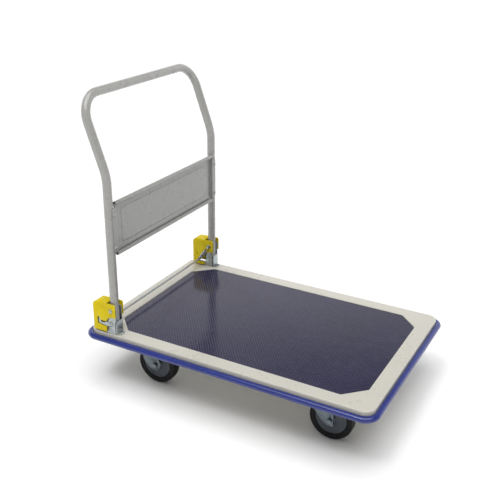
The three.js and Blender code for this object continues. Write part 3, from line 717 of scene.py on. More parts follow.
def embossed_mat():
    """Vinyl sheet with flat-topped lozenges between narrow V grooves."""
    theta, side, b = math.radians(53.0), 7.4, 0.082
    top, low, base = 173.68, 173.34, 171.7
    e1 = np.array([math.cos(theta), math.sin(theta)]) * side
    e2 = np.array([math.cos(theta), -math.sin(theta)]) * side
    poly = np.array(mat_outline(0, 4))
    centre = poly.mean(0)
    edges = []
    for i in range(len(poly)):
        p, q = poly[i], poly[(i + 1) % len(poly)]
        d = q - p
        n = np.array([d[1], -d[0]])
        n /= np.linalg.norm(n)
        if (centre - p) @ n > 0:
            n = -n
        edges.append((p, n))
    span = 160
    i, j = np.meshgrid(np.arange(-span, span), np.arange(-span, span), indexing="ij")
    i, j = i.ravel(), j.ravel()
    mid = (i + 0.5)[:, None] * e1 + (j + 0.5)[:, None] * e2 + centre
    dist = np.full(len(mid), -1e9)
    for p, n in edges:
        dist = np.maximum(dist, (mid - p) @ n)
    reach = np.linalg.norm(e1 + e2) / 2 + np.linalg.norm(e1 - e2) / 2
    keep = dist < reach
    i, j, dist = i[keep], j[keep], dist[keep]
    inside = dist < -reach
    us = [0.0, b, 1 - b, 1.0]
    hs = [0, 1, 1, 0]

    def build(ii, jj):
        bm = bmesh.new()
        cache = {}

        def vert(a, c):      # lattice index times three plus the line within the cell
            k = (a, c)
            if k not in cache:
                ca, la = divmod(a, 3)
                cc, lc = divmod(c, 3)
                p = (ca + us[la]) * e1 + (cc + us[lc]) * e2 + centre
                h = min(hs[la], hs[lc])
                cache[k] = bm.verts.new((p[0], p[1], low + (top - low) * h))
            return cache[k]

        for a, c in zip(ii.tolist(), jj.tolist()):
            for s in range(3):
                for t in range(3):
                    x, y = 3 * a + s, 3 * c + t
                    bm.faces.new((vert(x, y), vert(x + 1, y), vert(x + 1, y + 1), vert(x, y + 1)))
        return bm

    rim = build(i[~inside], j[~inside])
    for p, n in edges:
        bmesh.ops.bisect_plane(rim, geom=rim.verts[:] + rim.edges[:] + rim.faces[:], dist=1e-5,
                               plane_co=(p[0], p[1], 0), plane_no=(n[0], n[1], 0), clear_outer=True)
    me = bpy.data.meshes.new("tmp")
    rim.to_mesh(me)
    rim.free()
    bm = build(i[inside], j[inside])
    bm.from_mesh(me)
    bpy.data.meshes.remove(me)
    bmesh.ops.remove_doubles(bm, verts=bm.verts, dist=2e-3)
    open_edges = [e for e in bm.edges if len(e.link_faces) == 1]
    made = bmesh.ops.extrude_edge_only(bm, edges=open_edges)
    down = [g for g in made["geom"] if isinstance(g, bmesh.types.BMVert)]
    for v in down:
        v.co.z = base
    bottom = [g for g in made["geom"] if isinstance(g, bmesh.types.BMEdge)]
    bmesh.ops.triangle_fill(bm, edges=bottom, use_beauty=False)
    o = from_bm("embossed_mat", bm)
    if o.data.polygons[0].normal.z < 0 and sum(p.normal.z * p.area for p in o.data.polygons if p.center.z > 0.1735) < 0:
        o.data.flip_normals()
    o.data.polygons.foreach_set("use_smooth", [False] * len(o.data.polygons))
    return place(o, MAT, "mat_vinyl", "deck", "deck_mat")


def bumper():
    """Extruded rail pushed round the skirt, its ends meeting at the middle of the handle end."""
    prof = [(0.5, 149.3), (1.2, 148.0), (2.6, 147.5), (8.0, 147.5)]
    prof += [(8.0 + 7.0 * math.cos(math.radians(a)), 155.5 + 8.0 * math.sin(math.radians(a))) for a in range(-82, 83, 8)]
    prof += [(8.0, 163.5), (2.8, 163.4), (1.4, 162.9), (0.7, 161.9), (0.5, 160.5), (0.5, 156.0)]
    gap = 0.3
    rings = []
    for o, z in prof:
        l, w, r = DECK_L / 2 + o, DECK_W / 2 + o * 16 / 15, DECK_R + o * 13 / 15
        pts = [(-l, -gap)]
        for cx, cy, a0 in ((-l + r, -w + r, 180), (l - r, -w + r, 270), (l - r, w - r, 0), (-l + r, w - r, 90)):
            pts += arc(cx, cy, r, a0, a0 + 90, 18)
        pts.append((-l, gap))
        rings.append([(x, y, z) for x, y in pts])
    bm = bmesh.new()
    rr = [ring(bm, r) for r in rings]
    for a, b in zip(rr, rr[1:] + rr[:1]):
        bridge(bm, a, b, closed=False)
    bm.faces.new([r[0] for r in rr])
    bm.faces.new([r[-1] for r in rr][::-1])
    o = from_bm("bumper_rail", bm)
    return place(finish_mesh(o, 40), BUMPER, "blue_bumper", "deck", "edge_bumper")


def members():
    zt, t, w, r = DECK_TOP - RECESS - SHEET - 0.3, 2.0, MEMBER_W / 2, 4.0

    def hat(cx):
        return rounded([
            (cx - w - 14, zt - t, 0.5), (cx - w, zt - t, r - t), (cx - w, MEMBER_Z, r), (cx + w, MEMBER_Z, r), (cx + w, zt - t, r - t), (cx + w + 14, zt - t, 0.5),
            (cx + w + 14, zt, 0.5), (cx + w - t, zt, r), (cx + w - t, MEMBER_Z + t, r - t), (cx - w + t, MEMBER_Z + t, r - t), (cx - w + t, zt, r), (cx - w - 14, zt, 0.5)], 4)

    for name, cx in (("front_crossmember", FRONT_PLATE_X), ("rear_crossmember", REAR_SWIVEL_X)):
        o = prism(name + "_channel", hat(cx), -MEMBER_HALF, MEMBER_HALF, "XZ")
        # lightening holes between the casters
        holes = [cylinder("c", 17, 150, 160, cx, 0, "Z", 40, y) for y in (-90, 0, 90)]
        boolean(o, join("holes", *holes))
        place(finish_mesh(bevel(o, 0.35, 2, 50), 40), BEIGE, "beige_paint", "deck", name)
    b = 34
    x0, x1 = REAR_SWIVEL_X + w + 15, FRONT_PLATE_X - w - 15
    rib = rounded([
        (-b - 12, zt - t, 0.5), (-b, zt - t, 2), (-b + 4, MEMBER_Z + 2, 5), (b - 4, MEMBER_Z + 2, 5), (b, zt - t, 2), (b + 12, zt - t, 0.5),
        (b + 12, zt, 0.5), (b - t, zt, 4), (b - 4 - t, MEMBER_Z + 2 + t, 3), (-b + 4 + t, MEMBER_Z + 2 + t, 3), (-b + t, zt, 4), (-b - 12, zt, 0.5)], 4)
    o = prism("center_channel", rib, x0, x1, "YZ")
    place(finish_mesh(bevel(o, 0.35, 2, 50), 40), BEIGE, "beige_paint", "deck", "center_stiffener")
    # spot welds along the flanges
    welds = []
    for cx in (FRONT_PLATE_X, REAR_SWIVEL_X):
        for sx in (-1, 1):
            for k in range(11):
                welds.append(lathe("w", [(0, 0.55), (1.6, 0.5), (2.6, 0.25), (3.3, -0.05), (0, -0.05)], 16, "Z",
                                   (cx + sx * (w + 7.5), -250 + 50 * k, zt - t), -1))
    for sy in (-1, 1):
        for k in range(9):
            welds.append(lathe("w", [(0, 0.55), (1.6, 0.5), (2.6, 0.25), (3.3, -0.05), (0, -0.05)], 16, "Z",
                               (x0 + 25 + (x1 - x0 - 50) * k / 8, sy * (b + 6.5), zt - t), -1))
    place(finish_mesh(join("spot_welds", *welds), 50), BEIGE, "beige_paint", "deck")


# ------------------------------------------------------------------ fasteners
def hex_profile(across, r_cut, z0, z1, chamfer=0.9, both=False):
    """Hexagon prism along Y with turned corners."""
    bm = bmesh.new()
    n = 48
    rings = []
    layers = [(z0, False), (z1 - chamfer, False), (z1, True)] if not both else [(z0, True), (z0 + chamfer, False), (z1 - chamfer, False), (z1, True)]
    for z, cut in layers:
        pts = []
        for k in range(n):
            t = 2 * math.pi * k / n
            m = ((t + math.pi / 6) % (math.pi / 3)) - math.pi / 6
            r = across / 2 / math.cos(m)
            if cut:
                r = min(r, across / 2 * 0.985)
            pts.append((r * math.cos(t), z, r * math.sin(t)))
        rings.append(pts)
    return rings


def hex_head(name, across, y0, y1, at, flip=1, dish=True, hole=None):
    rings = hex_profile(across, 0, y0, y1, both=hole is not None)
    bm = bmesh.new()
    rr = [ring(bm, [(x, y * flip, z) for x, y, z in r]) for r in rings]
    for a, b in zip(rr, rr[1:]):
        bridge(bm, a, b)
    if hole:
        n = len(rings[0])
        h0 = ring(bm, [(hole * math.cos(2 * math.pi * k / n), y0 * flip, hole * math.sin(2 * math.pi * k / n)) for k in range(n)])
        h1 = ring(bm, [(hole * math.cos(2 * math.pi * k / n), y1 * flip, hole * math.sin(2 * math.pi * k / n)) for k in range(n)])
        bridge(bm, rr[0], h0), bridge(bm, h0, h1), bridge(bm, h1, rr[-1])
    else:
        bm.faces.new(rr[0][::-1])
        n = len(rings[0])
        d = ring(bm, [(across * 0.36 * math.cos(2 * math.pi * k / n), (y1 - (0.0 if not dish else 0.05)) * flip, across * 0.36 * math.sin(2 * math.pi * k / n)) for k in range(n)])
        e = ring(bm, [(across * 0.32 * math.cos(2 * math.pi * k / n), (y1 - 0.35) * flip, across * 0.32 * math.sin(2 * math.pi * k / n)) for k in range(n)])
        bridge(bm, rr[-1], d), bridge(bm, d, e)
        bm.faces.new(e)
    o = from_bm(name, bm)
    o.data.transform(Matrix.Translation(Vector(at) * MM))
    return o


def threads(r, y0, y1, pitch=1.25, depth=0.55):
    """Ridged profile of a threaded shank end, from y0 to y1."""
    out, y = [], y0
    step = pitch if y1 > y0 else -pitch
    while (y + step - y1) * step < 0:
        out += [(r, y + step * 0.1), (r, y + step * 0.25), (r - depth, y + step * 0.62), (r - depth, y + step * 0.74)]
        y += step
    out += [(r, y), (r - 0.2, y1 - (0.7 if step > 0 else -0.7)), (r - 1.0, y1)]
    return out


def axle(tag, x, y, out, body, replaced_bolt, replaced_nut):
    s = CHEEK_IN + CHEEK_T + 0.3
    head = hex_head("h", 13, 0.0, 5.3, (x, y + out * s, WHEEL_R), out)
    shank = lathe("s", [(0, s + 0.2), (4, s + 0.2), (4, -s - 4.5)] + threads(4, -s - 4.5, -s - 10) + [(0, -s - 10)], 28, "Y", (x, y, WHEEL_R), out)
    place(finish_mesh(join("axle_screw_" + tag, head, shank), 30), DULL, "zinc_plate", body, replaced_bolt)
    nut = hex_head("n", 13, 0.0, 5.2, (x, y - out * s, WHEEL_R), -out, hole=4.05)
    collar = lathe("c", [(4.05, 5.0), (5.6, 5.0), (5.6, 6.1), (5.2, 6.5), (4.05, 6.5)], 40, "Y", (x, y - out * s, WHEEL_R), -out)
    place(finish_mesh(join("axle_locknut_" + tag, nut, collar), 30), ZINC, "zinc_plate", body, replaced_nut)


def plate_bolts():
    made = []
    for cx in (FRONT_PLATE_X, REAR_SWIVEL_X):
        for sy in (-1, 1):
            for ax in (-41, 41):
                for ay in (-32, 32):
                    x, y = cx + ax, sy * WHEEL_Y + ay
                    head = hex_head("h", 13, 0.0, 5.0, (0, 0, 0))
                    wash = lathe("w", [(4.3, -1.3), (7.9, -1.3), (8.2, -1.0), (8.2, -0.2), (7.9, 0.0), (4.3, 0.0)], 32, "Y")
                    shank = lathe("s", [(0, 0.2), (4, 0.2), (4, -9)] + threads(4, -9, -14) + [(0, -14)], 24, "Y")
                    nut = hex_head("n", 13, -11.5, -6.2, (0, 0, 0), 1, hole=4.05)
                    m = join("b", head, wash, shank, nut)
                    rot = Matrix.Rotation(math.radians(-90), 4, "X") @ Matrix.Rotation(0.35 * (len(made) * 7 % 5), 4, "Y")
                    m.data.transform(Matrix.Translation((x * MM, y * MM, (MEMBER_Z - 3.3 - 1.3) * MM)) @ rot)
                    made.append(m)
    place(finish_mesh(join("caster_plate_bolts", *made), 30), ZINC, "zinc_plate", "deck")


# ------------------------------------------------------------------ wheels and casters
def wheel(tag, x, y, body):
    c = (x, y, WHEEL_R)
    prof = [(46.0, -13.4), (47.0, -14.0), (49.5, -14.6), (50.3, -14.0), (51.0, -14.0), (51.8, -14.8), (56.0, -15.7), (58.2, -15.95)]
    prof += [(58.2 + 3.4 * math.sin(math.radians(a)), -12.55 - 3.4 * math.cos(math.radians(a))) for a in range(10, 81, 10)]
    prof += [(61.9, -11.0), (62.15, -9.0), (62.3, -7.2), (61.4, -6.8), (61.4, -5.6), (62.35, -5.2), (62.5, -2.0)]
    prof += [(r, -h) for r, h in prof[::-1]]
    tyre = lathe("tyre_" + tag + "_moulded", prof, 128, "Y", c)
    place(finish_mesh(tyre, 24), RUBBER, "tyre_rubber", body, "tyre_" + tag)
    half = [(8.3, 17.5), (12.6, 17.5), (13.6, 17.0), (14.4, 15.6), (15.4, 13.2), (16.8, 12.1), (19.0, 11.5), (25.0, 10.8), (31.0, 10.6), (35.6, 10.8),
            (36.4, 11.2), (37.2, 11.9), (38.4, 12.1), (40.4, 12.6), (41.2, 13.2), (43.9, 13.2), (44.7, 12.6), (44.9, 11.6)]
    prof = half + [(r, -h) for r, h in half[::-1]]
    parts = [lathe("h", prof, 96, "Y", c)]
    hub = join("hub_" + tag + "_moulded", *parts)
    place(finish_mesh(hub, 30), HUB, "hub_plastic", body, "wheel_hub_" + tag)


def sleeve(tag, x, y, body):
    o = lathe("axle_bush_" + tag, [(4.4, -19.2), (7.5, -19.2), (7.9, -18.8), (7.9, 18.8), (7.5, 19.2), (4.4, 19.2)], 40, "Y", (x, y, WHEEL_R))
    place(finish_mesh(o, 30), STEEL, "bare_steel", body, "axle_sleeve_" + tag)


def pressed_cheeks(name, outline, y, boss_x):
    """Two fork cheeks with rounded edges and an axle hole."""
    parts = []
    for s in (-1, 1):
        a0, a1 = sorted((y + s * CHEEK_IN, y + s * (CHEEK_IN + CHEEK_T)))
        o = prism("c", outline, a0, a1, "XZ")
        boolean(o, cylinder("h", 4.3, a0 - 4, a1 + 4, boss_x, WHEEL_R, "Y", 32))
        parts.append(bevel(o, 0.55, 2, 40))
    return parts


def rigid_caster(tag, y, out):
    top, bot = MEMBER_Z - 0.3, MEMBER_Z - 3.3
    ax, az = FRONT_AXLE_X, WHEEL_R
    outline = rounded([
        (ax + 10, bot + 0.6), (ax - 62, bot + 0.6), (ax - 62, az + 56, 30), (ax - 46, az + 23, 60),
        (ax - 29, az - 1, 40), (ax - 11, az - 15.5, 20), (ax + 10, az - 19.5, 5)], 8)
    parts = pressed_cheeks("fork", outline, y, ax)
    plate = prism("p", rect(104, 84, 8, 8, FRONT_PLATE_X, y), bot, top, "XY")
    holes = [cylinder("c", 4.5, bot - 2, top + 2, FRONT_PLATE_X + sx * 41, 0, "Z", 24, y + sy * 32) for sx in (-1, 1) for sy in (-1, 1)]
    boolean(plate, join("holes", *holes))
    parts.append(bevel(plate, 0.5, 2, 40))
    # fold radius where the cheeks leave the plate, and the bridge between them
    web = prism("w", rounded([(ax - 62, y - CHEEK_IN - 0.5), (ax + 10, y - CHEEK_IN - 0.5), (ax + 10, y + CHEEK_IN + 0.5), (ax - 62, y + CHEEK_IN + 0.5)], 2), bot - 2.2, bot + 0.2, "XY")
    parts.append(bevel(web, 0.4, 2, 40))
    for s in (-1, 1):
        base = y + s * (CHEEK_IN + CHEEK_T)
        prof = [(base - s * 0.3, bot + 0.3)] + [(base + s * 4.2 * (1 - math.cos(math.radians(a))), bot - 4.2 + 4.2 * math.sin(math.radians(a))) for a in range(0, 91, 15)]
        prof[1] = (base - s * 0.3, bot - 4.2)
        parts.append(prism("f", prof, ax - 60, ax + 8, "YZ"))
    place(finish_mesh(join("rigid_fork_" + tag + "_pressed", *parts), 35), FORK, "zinc_plate", "deck", "rigid_fork_" + tag)
    wheel(tag, ax, y, "wheel_" + tag)
    sleeve(tag, ax, y, "deck")
    axle(tag, ax, y, out, "deck", "axle_bolt_" + tag, "axle_nut_" + tag)


def swivel_caster(tag, y, out):
    top, bot = MEMBER_Z - 0.3, MEMBER_Z - 3.3
    sx, ax, az = REAR_SWIVEL_X, REAR_AXLE_X, WHEEL_R
    body = "swivel_" + tag
    plate = prism("p", rect(104, 84, 8, 8, sx, y), bot, top, "XY")
    holes = [cylinder("c", 4.5, bot - 2, top + 2, sx + a * 41, 0, "Z", 24, y + b * 32) for a in (-1, 1) for b in (-1, 1)]
    holes.append(cylinder("c", 6.5, bot - 2, top + 2, sx, 0, "Z", 32, y))
    boolean(plate, join("holes", *holes))
    place(finish_mesh(bevel(plate, 0.5, 2, 40), 35), ZINC, "zinc_plate", "deck", "caster_plate_" + tag).name = "caster_plate_%s_pressed" % tag
    # ball race: a flanged cup under the plate, a cone on the crown, and the balls between them
    z1 = bot - 0.3
    z0 = z1 - 9.4
    cup = lathe("cup", [(12.0, z1), (26.5, z1), (28.4, z1 - 0.6), (29.0, z1 - 1.8), (29.0, z1 - 4.2), (28.2, z1 - 4.6), (27.2, z1 - 4.3), (26.6, z1 - 2.6),
                        (24.6, z1 - 1.9), (22.0, z1 - 2.6), (19.5, z1 - 1.9), (12.0, z1 - 1.9)], 72, "Z", (sx, y, 0))
    cone = lathe("cone", [(12.0, z0), (24.0, z0), (25.3, z0 + 0.6), (25.8, z0 + 1.6), (25.2, z0 + 2.4), (23.8, z0 + 1.9), (22.0, z0 + 1.6), (19.6, z0 + 2.0),
                          (17.4, z0 + 3.6), (14.0, z0 + 4.8), (12.0, z0 + 4.8)], 72, "Z", (sx, y, 0))
    balls = []
    for k in range(20):
        t = 2 * math.pi * k / 20
        prof = [(2.6 * math.sin(math.pi * j / 8), -2.6 * math.cos(math.pi * j / 8)) for j in range(9)]
        prof[0], prof[-1] = (0, -2.6), (0, 2.6)
        balls.append(lathe("b", prof, 16, "Z", (sx + 22 * math.cos(t), y + 22 * math.sin(t), (z0 + z1) / 2 - 0.4)))
    place(finish_mesh(join("ball_race_" + tag, cup, cone, *balls), 35), ZINC, "zinc_plate", "deck", "swivel_race_" + tag)
    crown_top = bot - 0.6 - 9.4
    crown_bot = crown_top - 3
    pin = lathe("kingpin_" + tag + "_riveted", [(0, crown_bot - 4.3), (6.5, crown_bot - 4.1), (9.0, crown_bot - 3.4), (11.2, crown_bot - 2.4), (12.0, crown_bot - 1.4), (12.0, crown_bot - 0.5),
                                                (11.6, crown_bot - 0.3), (6, crown_bot - 0.3), (6, top + 0.2), (5.4, top), (0, top)][:8] + [(6, top - 0.4), (5.4, top), (0, top)], 48, "Z", (sx, y, 0))
    place(finish_mesh(pin, 30), STEEL, "bare_steel", "deck", "kingpin_" + tag)
    outline = rounded([
        (ax - 6, crown_top - 0.6), (ax - 66, crown_top - 0.6), (ax - 66, crown_top - 12, 6), (ax - 47, az + 32, 60), (ax - 38, az + 4, 30),
        (ax - 18, az - 16, 26), (ax + 8, az - 21, 14), (ax + 20, az + 4, 12), (ax + 9, az + 26, 40), (ax - 6, az + 52, 30)], 8)
    parts = pressed_cheeks("fork", outline, y, ax)
    w = CHEEK_IN + CHEEK_T
    crown = prism("c", rounded([(ax - 66, y - w, 9), (ax - 6, y - w, 9), (ax - 6, y + w, 9), (ax - 66, y + w, 9)], 6), crown_bot, crown_top, "XY")
    boolean(crown, cylinder("h", 6.4, crown_bot - 2, crown_top + 2, sx, 0, "Z", 32, y))
    parts.append(bevel(crown, 0.9, 3, 40))
    for s in (-1, 1):       # rolled shoulder inside the fold
        base = y + s * CHEEK_IN
        prof = [(base + s * 0.3, crown_bot + 0.3)] + [(base - s * 3.2 * (1 - math.cos(math.radians(a))), crown_bot - 3.2 + 3.2 * math.sin(math.radians(a))) for a in range(0, 91, 15)]
        prof[1] = (base + s * 0.3, crown_bot - 3.2)
        parts.append(prism("f", prof, ax - 62, ax - 9, "YZ"))
    place(finish_mesh(join("swivel_fork_" + tag + "_pressed", *parts), 35), FORK, "zinc_plate", body, "swivel_fork_" + tag)
    wheel(tag, ax, y, "wheel_" + tag)
    sleeve(tag, ax, y, body)
    axle(tag, ax, y, out, body, "axle_bolt_" + tag, "axle_nut_" + tag)


# ------------------------------------------------------------------ handle
def handle_path(foot=FOOT_Z + 2.5, n_bend=20, n_corner=26):
    up = Vector((0, 0, 1))
    lean = Vector((BAR_X - LEG_X, 0, BAR_Z - BEND_Z)).normalized()
    across = Vector((0, 1, 0))
    pts = []

    def bend(corner, din, dout, r, n):
        half = math.acos(-din.dot(dout)) / 2
        d = r / math.tan(half)
        centre = corner + (dout - din).normalized() * (r / math.sin(half))
        a, b = corner - din * d - centre, corner + dout * d - centre
        w = math.acos(a.dot(b) / (r * r))
        for k in range(n + 1):
            t = k / n
            pts.append(a * (math.sin((1 - t) * w) / math.sin(w)) + b * (math.sin(t * w) / math.sin(w)) + centre)

    pts.append(Vector((LEG_X, -LEG_Y, foot)))
    pts.append(Vector((LEG_X, -LEG_Y, 400)))
    bend(Vector((LEG_X, -LEG_Y, BEND_Z)), up, lean, BEND_R, n_bend)
    bend(Vector((BAR_X, -LEG_Y, BAR_Z)), lean, across, CORNER_R, n_corner)
    pts.append(Vector((BAR_X, 0, BAR_Z)))
    bend(Vector((BAR_X, LEG_Y, BAR_Z)), across, -lean, CORNER_R, n_corner)
    bend(Vector((LEG_X, LEG_Y, BEND_Z)), -lean, -up, BEND_R, n_bend)
    pts.append(Vector((LEG_X, LEG_Y, 400)))
    pts.append(Vector((LEG_X, LEG_Y, foot)))
    return pts


def handle():
    tube = sweep("handle_bar", handle_path(), TUBE_R - 0.1, 48, inner=TUBE_R - TUBE_WALL)
    cuts = []
    for _, s in SIDES:
        cuts.append(cylinder("c", 4.5, s * LEG_Y - 30, s * LEG_Y + 30, LEG_X, PIVOT_Z, "Y", 32))
        for z in RIVET_Z:
            cuts.append(cylinder("c", 2.9, LEG_X - 30, LEG_X + 30, 0, z, "X", 24, s * RIVET_Y))
    boolean(tube, join("cuts", *cuts))
    place(finish_mesh(tube, 35), HANDLE, "handle_paint", "handle", "handle_tube")
    for tag, s in SIDES:
        prof = [(0, 0.0), (9.5, 0.0), (11.6, 0.35), (12.4, 1.1), (12.4, 2.2), (10.6, 2.2), (10.7, 5.0), (10.3, 5.2), (10.7, 8.2), (10.3, 8.5), (10.2, 14), (0, 14)]
        cap = lathe("leg_plug_" + tag, prof, 40, "Z", (LEG_X, s * LEG_Y, FOOT_Z))
        place(finish_mesh(cap, 30), BLACK, "black_plastic", "handle", "leg_cap_" + tag)


def smooth(t):
    t = max(0.0, min(1.0, t))
    return t * t * (3 - 2 * t)


def panel():
    t = 1.6
    front = LEG_X + TUBE_R + 0.3
    lip = front + t
    rear = LEG_X + PANEL_SET
    face = rear + t
    hx = rear + HEM_R
    fy, fz0, fz1, rise, slope, rad = 225.0, 443.5, 548.0, 1.6, 2.8, 9.0

    def emboss(y, z):
        """Height of the pressed field: a rounded rectangle with sloping sides."""
        cy, cz = 0.0, (fz0 + fz1) / 2
        qx, qz = abs(y - cy) - (fy - rad), abs(z - cz) - ((fz1 - fz0) / 2 - rad)
        d = math.hypot(max(qx, 0), max(qz, 0)) + min(max(qx, qz), 0) - rad
        return rise * smooth(-d / slope)

    zs = set([430.0, 560.5])
    for e, sgn in ((fz0, 1), (fz1, -1)):
        zs |= {e + sgn * v for v in (-1.5, 0, 0.5, 1.0, 1.6, 2.2, 2.7, 3.2, 4.5, 7, 9)}
    zs |= {434.0, 438.0, 553.0, 557.0, 421.0, 425.0, 565.0, 569.5}
    zs |= set(np.linspace(455, 537, 9).tolist())
    zs = sorted(zs, reverse=True)
    ys = {0.0}
    for sgn in (-1, 1):
        ys |= {sgn * (fy - v) for v in (-1.5, 0, 0.5, 1.0, 1.6, 2.2, 2.7, 3.2, 4.5, 6, 7.5, 9, 14)}
        ys |= {sgn * v for v in (30, 60, 90, 120, 150, 180, 200, 235, 245, 249, 251.8)}
    ys = sorted(ys)
    n = 22
    curl = [k / n * math.pi * 1.6 for k in range(1, n + 1)]

    def pos(kind, v, y, back):
        r = HEM_R if back else HEM_R - t
        if kind == "top":
            return (hx - r * math.cos(v), y, PANEL_TOP + r * math.sin(v))
        if kind == "bot":
            return (hx - r * math.cos(v), y, PANEL_BOT - r * math.sin(v))
        return ((rear if back else face) + emboss(y, v), y, v)

    rows = [("top", v) for v in curl[::-1]] + [("face", z) for z in zs] + [("bot", v) for v in curl]
    bm = bmesh.new()
    grids = {}
    for back in (False, True):
        grids[back] = [[bm.verts.new(pos(k, v, y, back)) for y in ys] for k, v in rows]
        g = grids[back]
        for i in range(len(g) - 1):
            for j in range(len(ys) - 1):
                bm.faces.new((g[i][j], g[i][j + 1], g[i + 1][j + 1], g[i + 1][j]))
    a, b = grids[False], grids[True]
    for i in (0, len(rows) - 1):
        for j in range(len(ys) - 1):
            bm.faces.new((a[i][j], a[i][j + 1], b[i][j + 1], b[i][j]))
    z_of = [v if k == "face" else None for k, v in rows]
    flange = [i for i, z in enumerate(z_of) if z is not None and 430.0 <= z <= 560.5]

    def strip(j, idx, cols):
        """Carries the rows in idx on from the edge column j; each column gives a front and a rear point for a row."""
        last = [(a[i][j], b[i][j]) for i in idx]
        for col in cols:
            cur = [tuple(bm.verts.new(p) for p in col(i)) for i in idx]
            for k in range(len(idx) - 1):
                bm.faces.new((last[k][0], cur[k][0], cur[k + 1][0], last[k + 1][0]))
                bm.faces.new((last[k][1], cur[k][1], cur[k + 1][1], last[k + 1][1]))
            for k in (0, len(idx) - 1):
                bm.faces.new((last[k][0], cur[k][0], cur[k][1], last[k][1]))
            last = cur
        for k in range(len(idx) - 1):
            bm.faces.new((last[k][0], last[k + 1][0], last[k + 1][1], last[k][1]))

    # plan of the stepped flange: (distance from the middle, x, direction of travel in degrees)
    xa, xb, rb = rear + t / 2, front + t / 2, 2.4
    plan = [(251.8 + rb * math.sin(math.radians(u)), xa + rb * (1 - math.cos(math.radians(u))), u) for u in (15, 30, 45, 60, 75, 90)]
    plan += [(256.6 - rb * math.cos(math.radians(90 - u)), xb - rb + rb * math.sin(math.radians(90 - u)), u) for u in (90, 75, 60, 45, 30, 15, 0)]
    plan += [(v, xb, 0) for v in (259.0, 262.0, 264.0, 266.0, 267.5, 269.0, 270.3, 271.3, FLANGE_Y)]
    for j, s in ((0, -1), (len(ys) - 1, 1)):
        def plain(y, s=s):
            return lambda i: (pos(rows[i][0], rows[i][1], s * y, False), pos(rows[i][0], rows[i][1], s * y, True))

        def stepped(y, x, u, s=s):
            over = max(0.0, y - (FLANGE_Y - 6.0))
            cut = 6.0 - math.sqrt(max(0.0, 36.0 - over * over))
            ny, nx = -math.sin(math.radians(u)) * t / 2, math.cos(math.radians(u)) * t / 2

            def at(i):
                z = max(430.0 + cut, min(560.5 - cut, z_of[i]))
                return (x + nx, s * (y + ny), z), (x - nx, s * (y - ny), z)
            return at

        ends = [plain(252.9), plain(254.5), plain(255.0)]
        strip(j, list(range(0, flange[0] + 1)), ends)
        strip(j, list(range(flange[-1], len(rows))), ends)
        strip(j, flange, [stepped(*p) for p in plan])
    bmesh.ops.remove_doubles(bm, verts=bm.verts, dist=1e-3)
    bmesh.ops.dissolve_degenerate(bm, dist=1e-4, edges=bm.edges)
    o = from_bm("handle_panel_pressed", bm)
    cuts = [cylinder("c", 3.0, front - 4, lip + 5, 0, z, "X", 24, s * RIVET_Y) for _, s in SIDES for z in RIVET_Z]
    boolean(o, join("cuts", *cuts))
    # the panel takes the darker copy of the handle paint, which is painted shade
    place(finish_mesh(o, 40), PANEL_PAINT_SHADED, "panel_paint", "handle", "handle_panel")
    for tag, s in SIDES:
        for where, z in (("lower", RIVET_Z[0]), ("upper", RIVET_Z[1])):
            x0 = LEG_X - TUBE_R - 0.3
            x1 = lip + 0.3
            back = [(0, x0 - 2.4), (2.6, x0 - 2.3), (4.1, x0 - 1.6), (4.6, x0 - 0.4), (4.6, x0)]
            dome = [(5.2, x1), (5.2, x1 + 0.7)] + [(5.2 * math.cos(math.radians(a)), x1 + 0.7 + 2.9 * math.sin(math.radians(a))) for a in (15, 30, 45, 60, 75)] + [(0, x1 + 3.55)]
            r = lathe("panel_pin_%s_%s" % (tag, where), back + [(2.3, x0), (2.3, x1)] + dome, 32, "X", (0, s * RIVET_Y, z))
            place(finish_mesh(r, 35), ZINC, "bare_steel", "handle", "panel_rivet_%s_%s" % (tag, where))


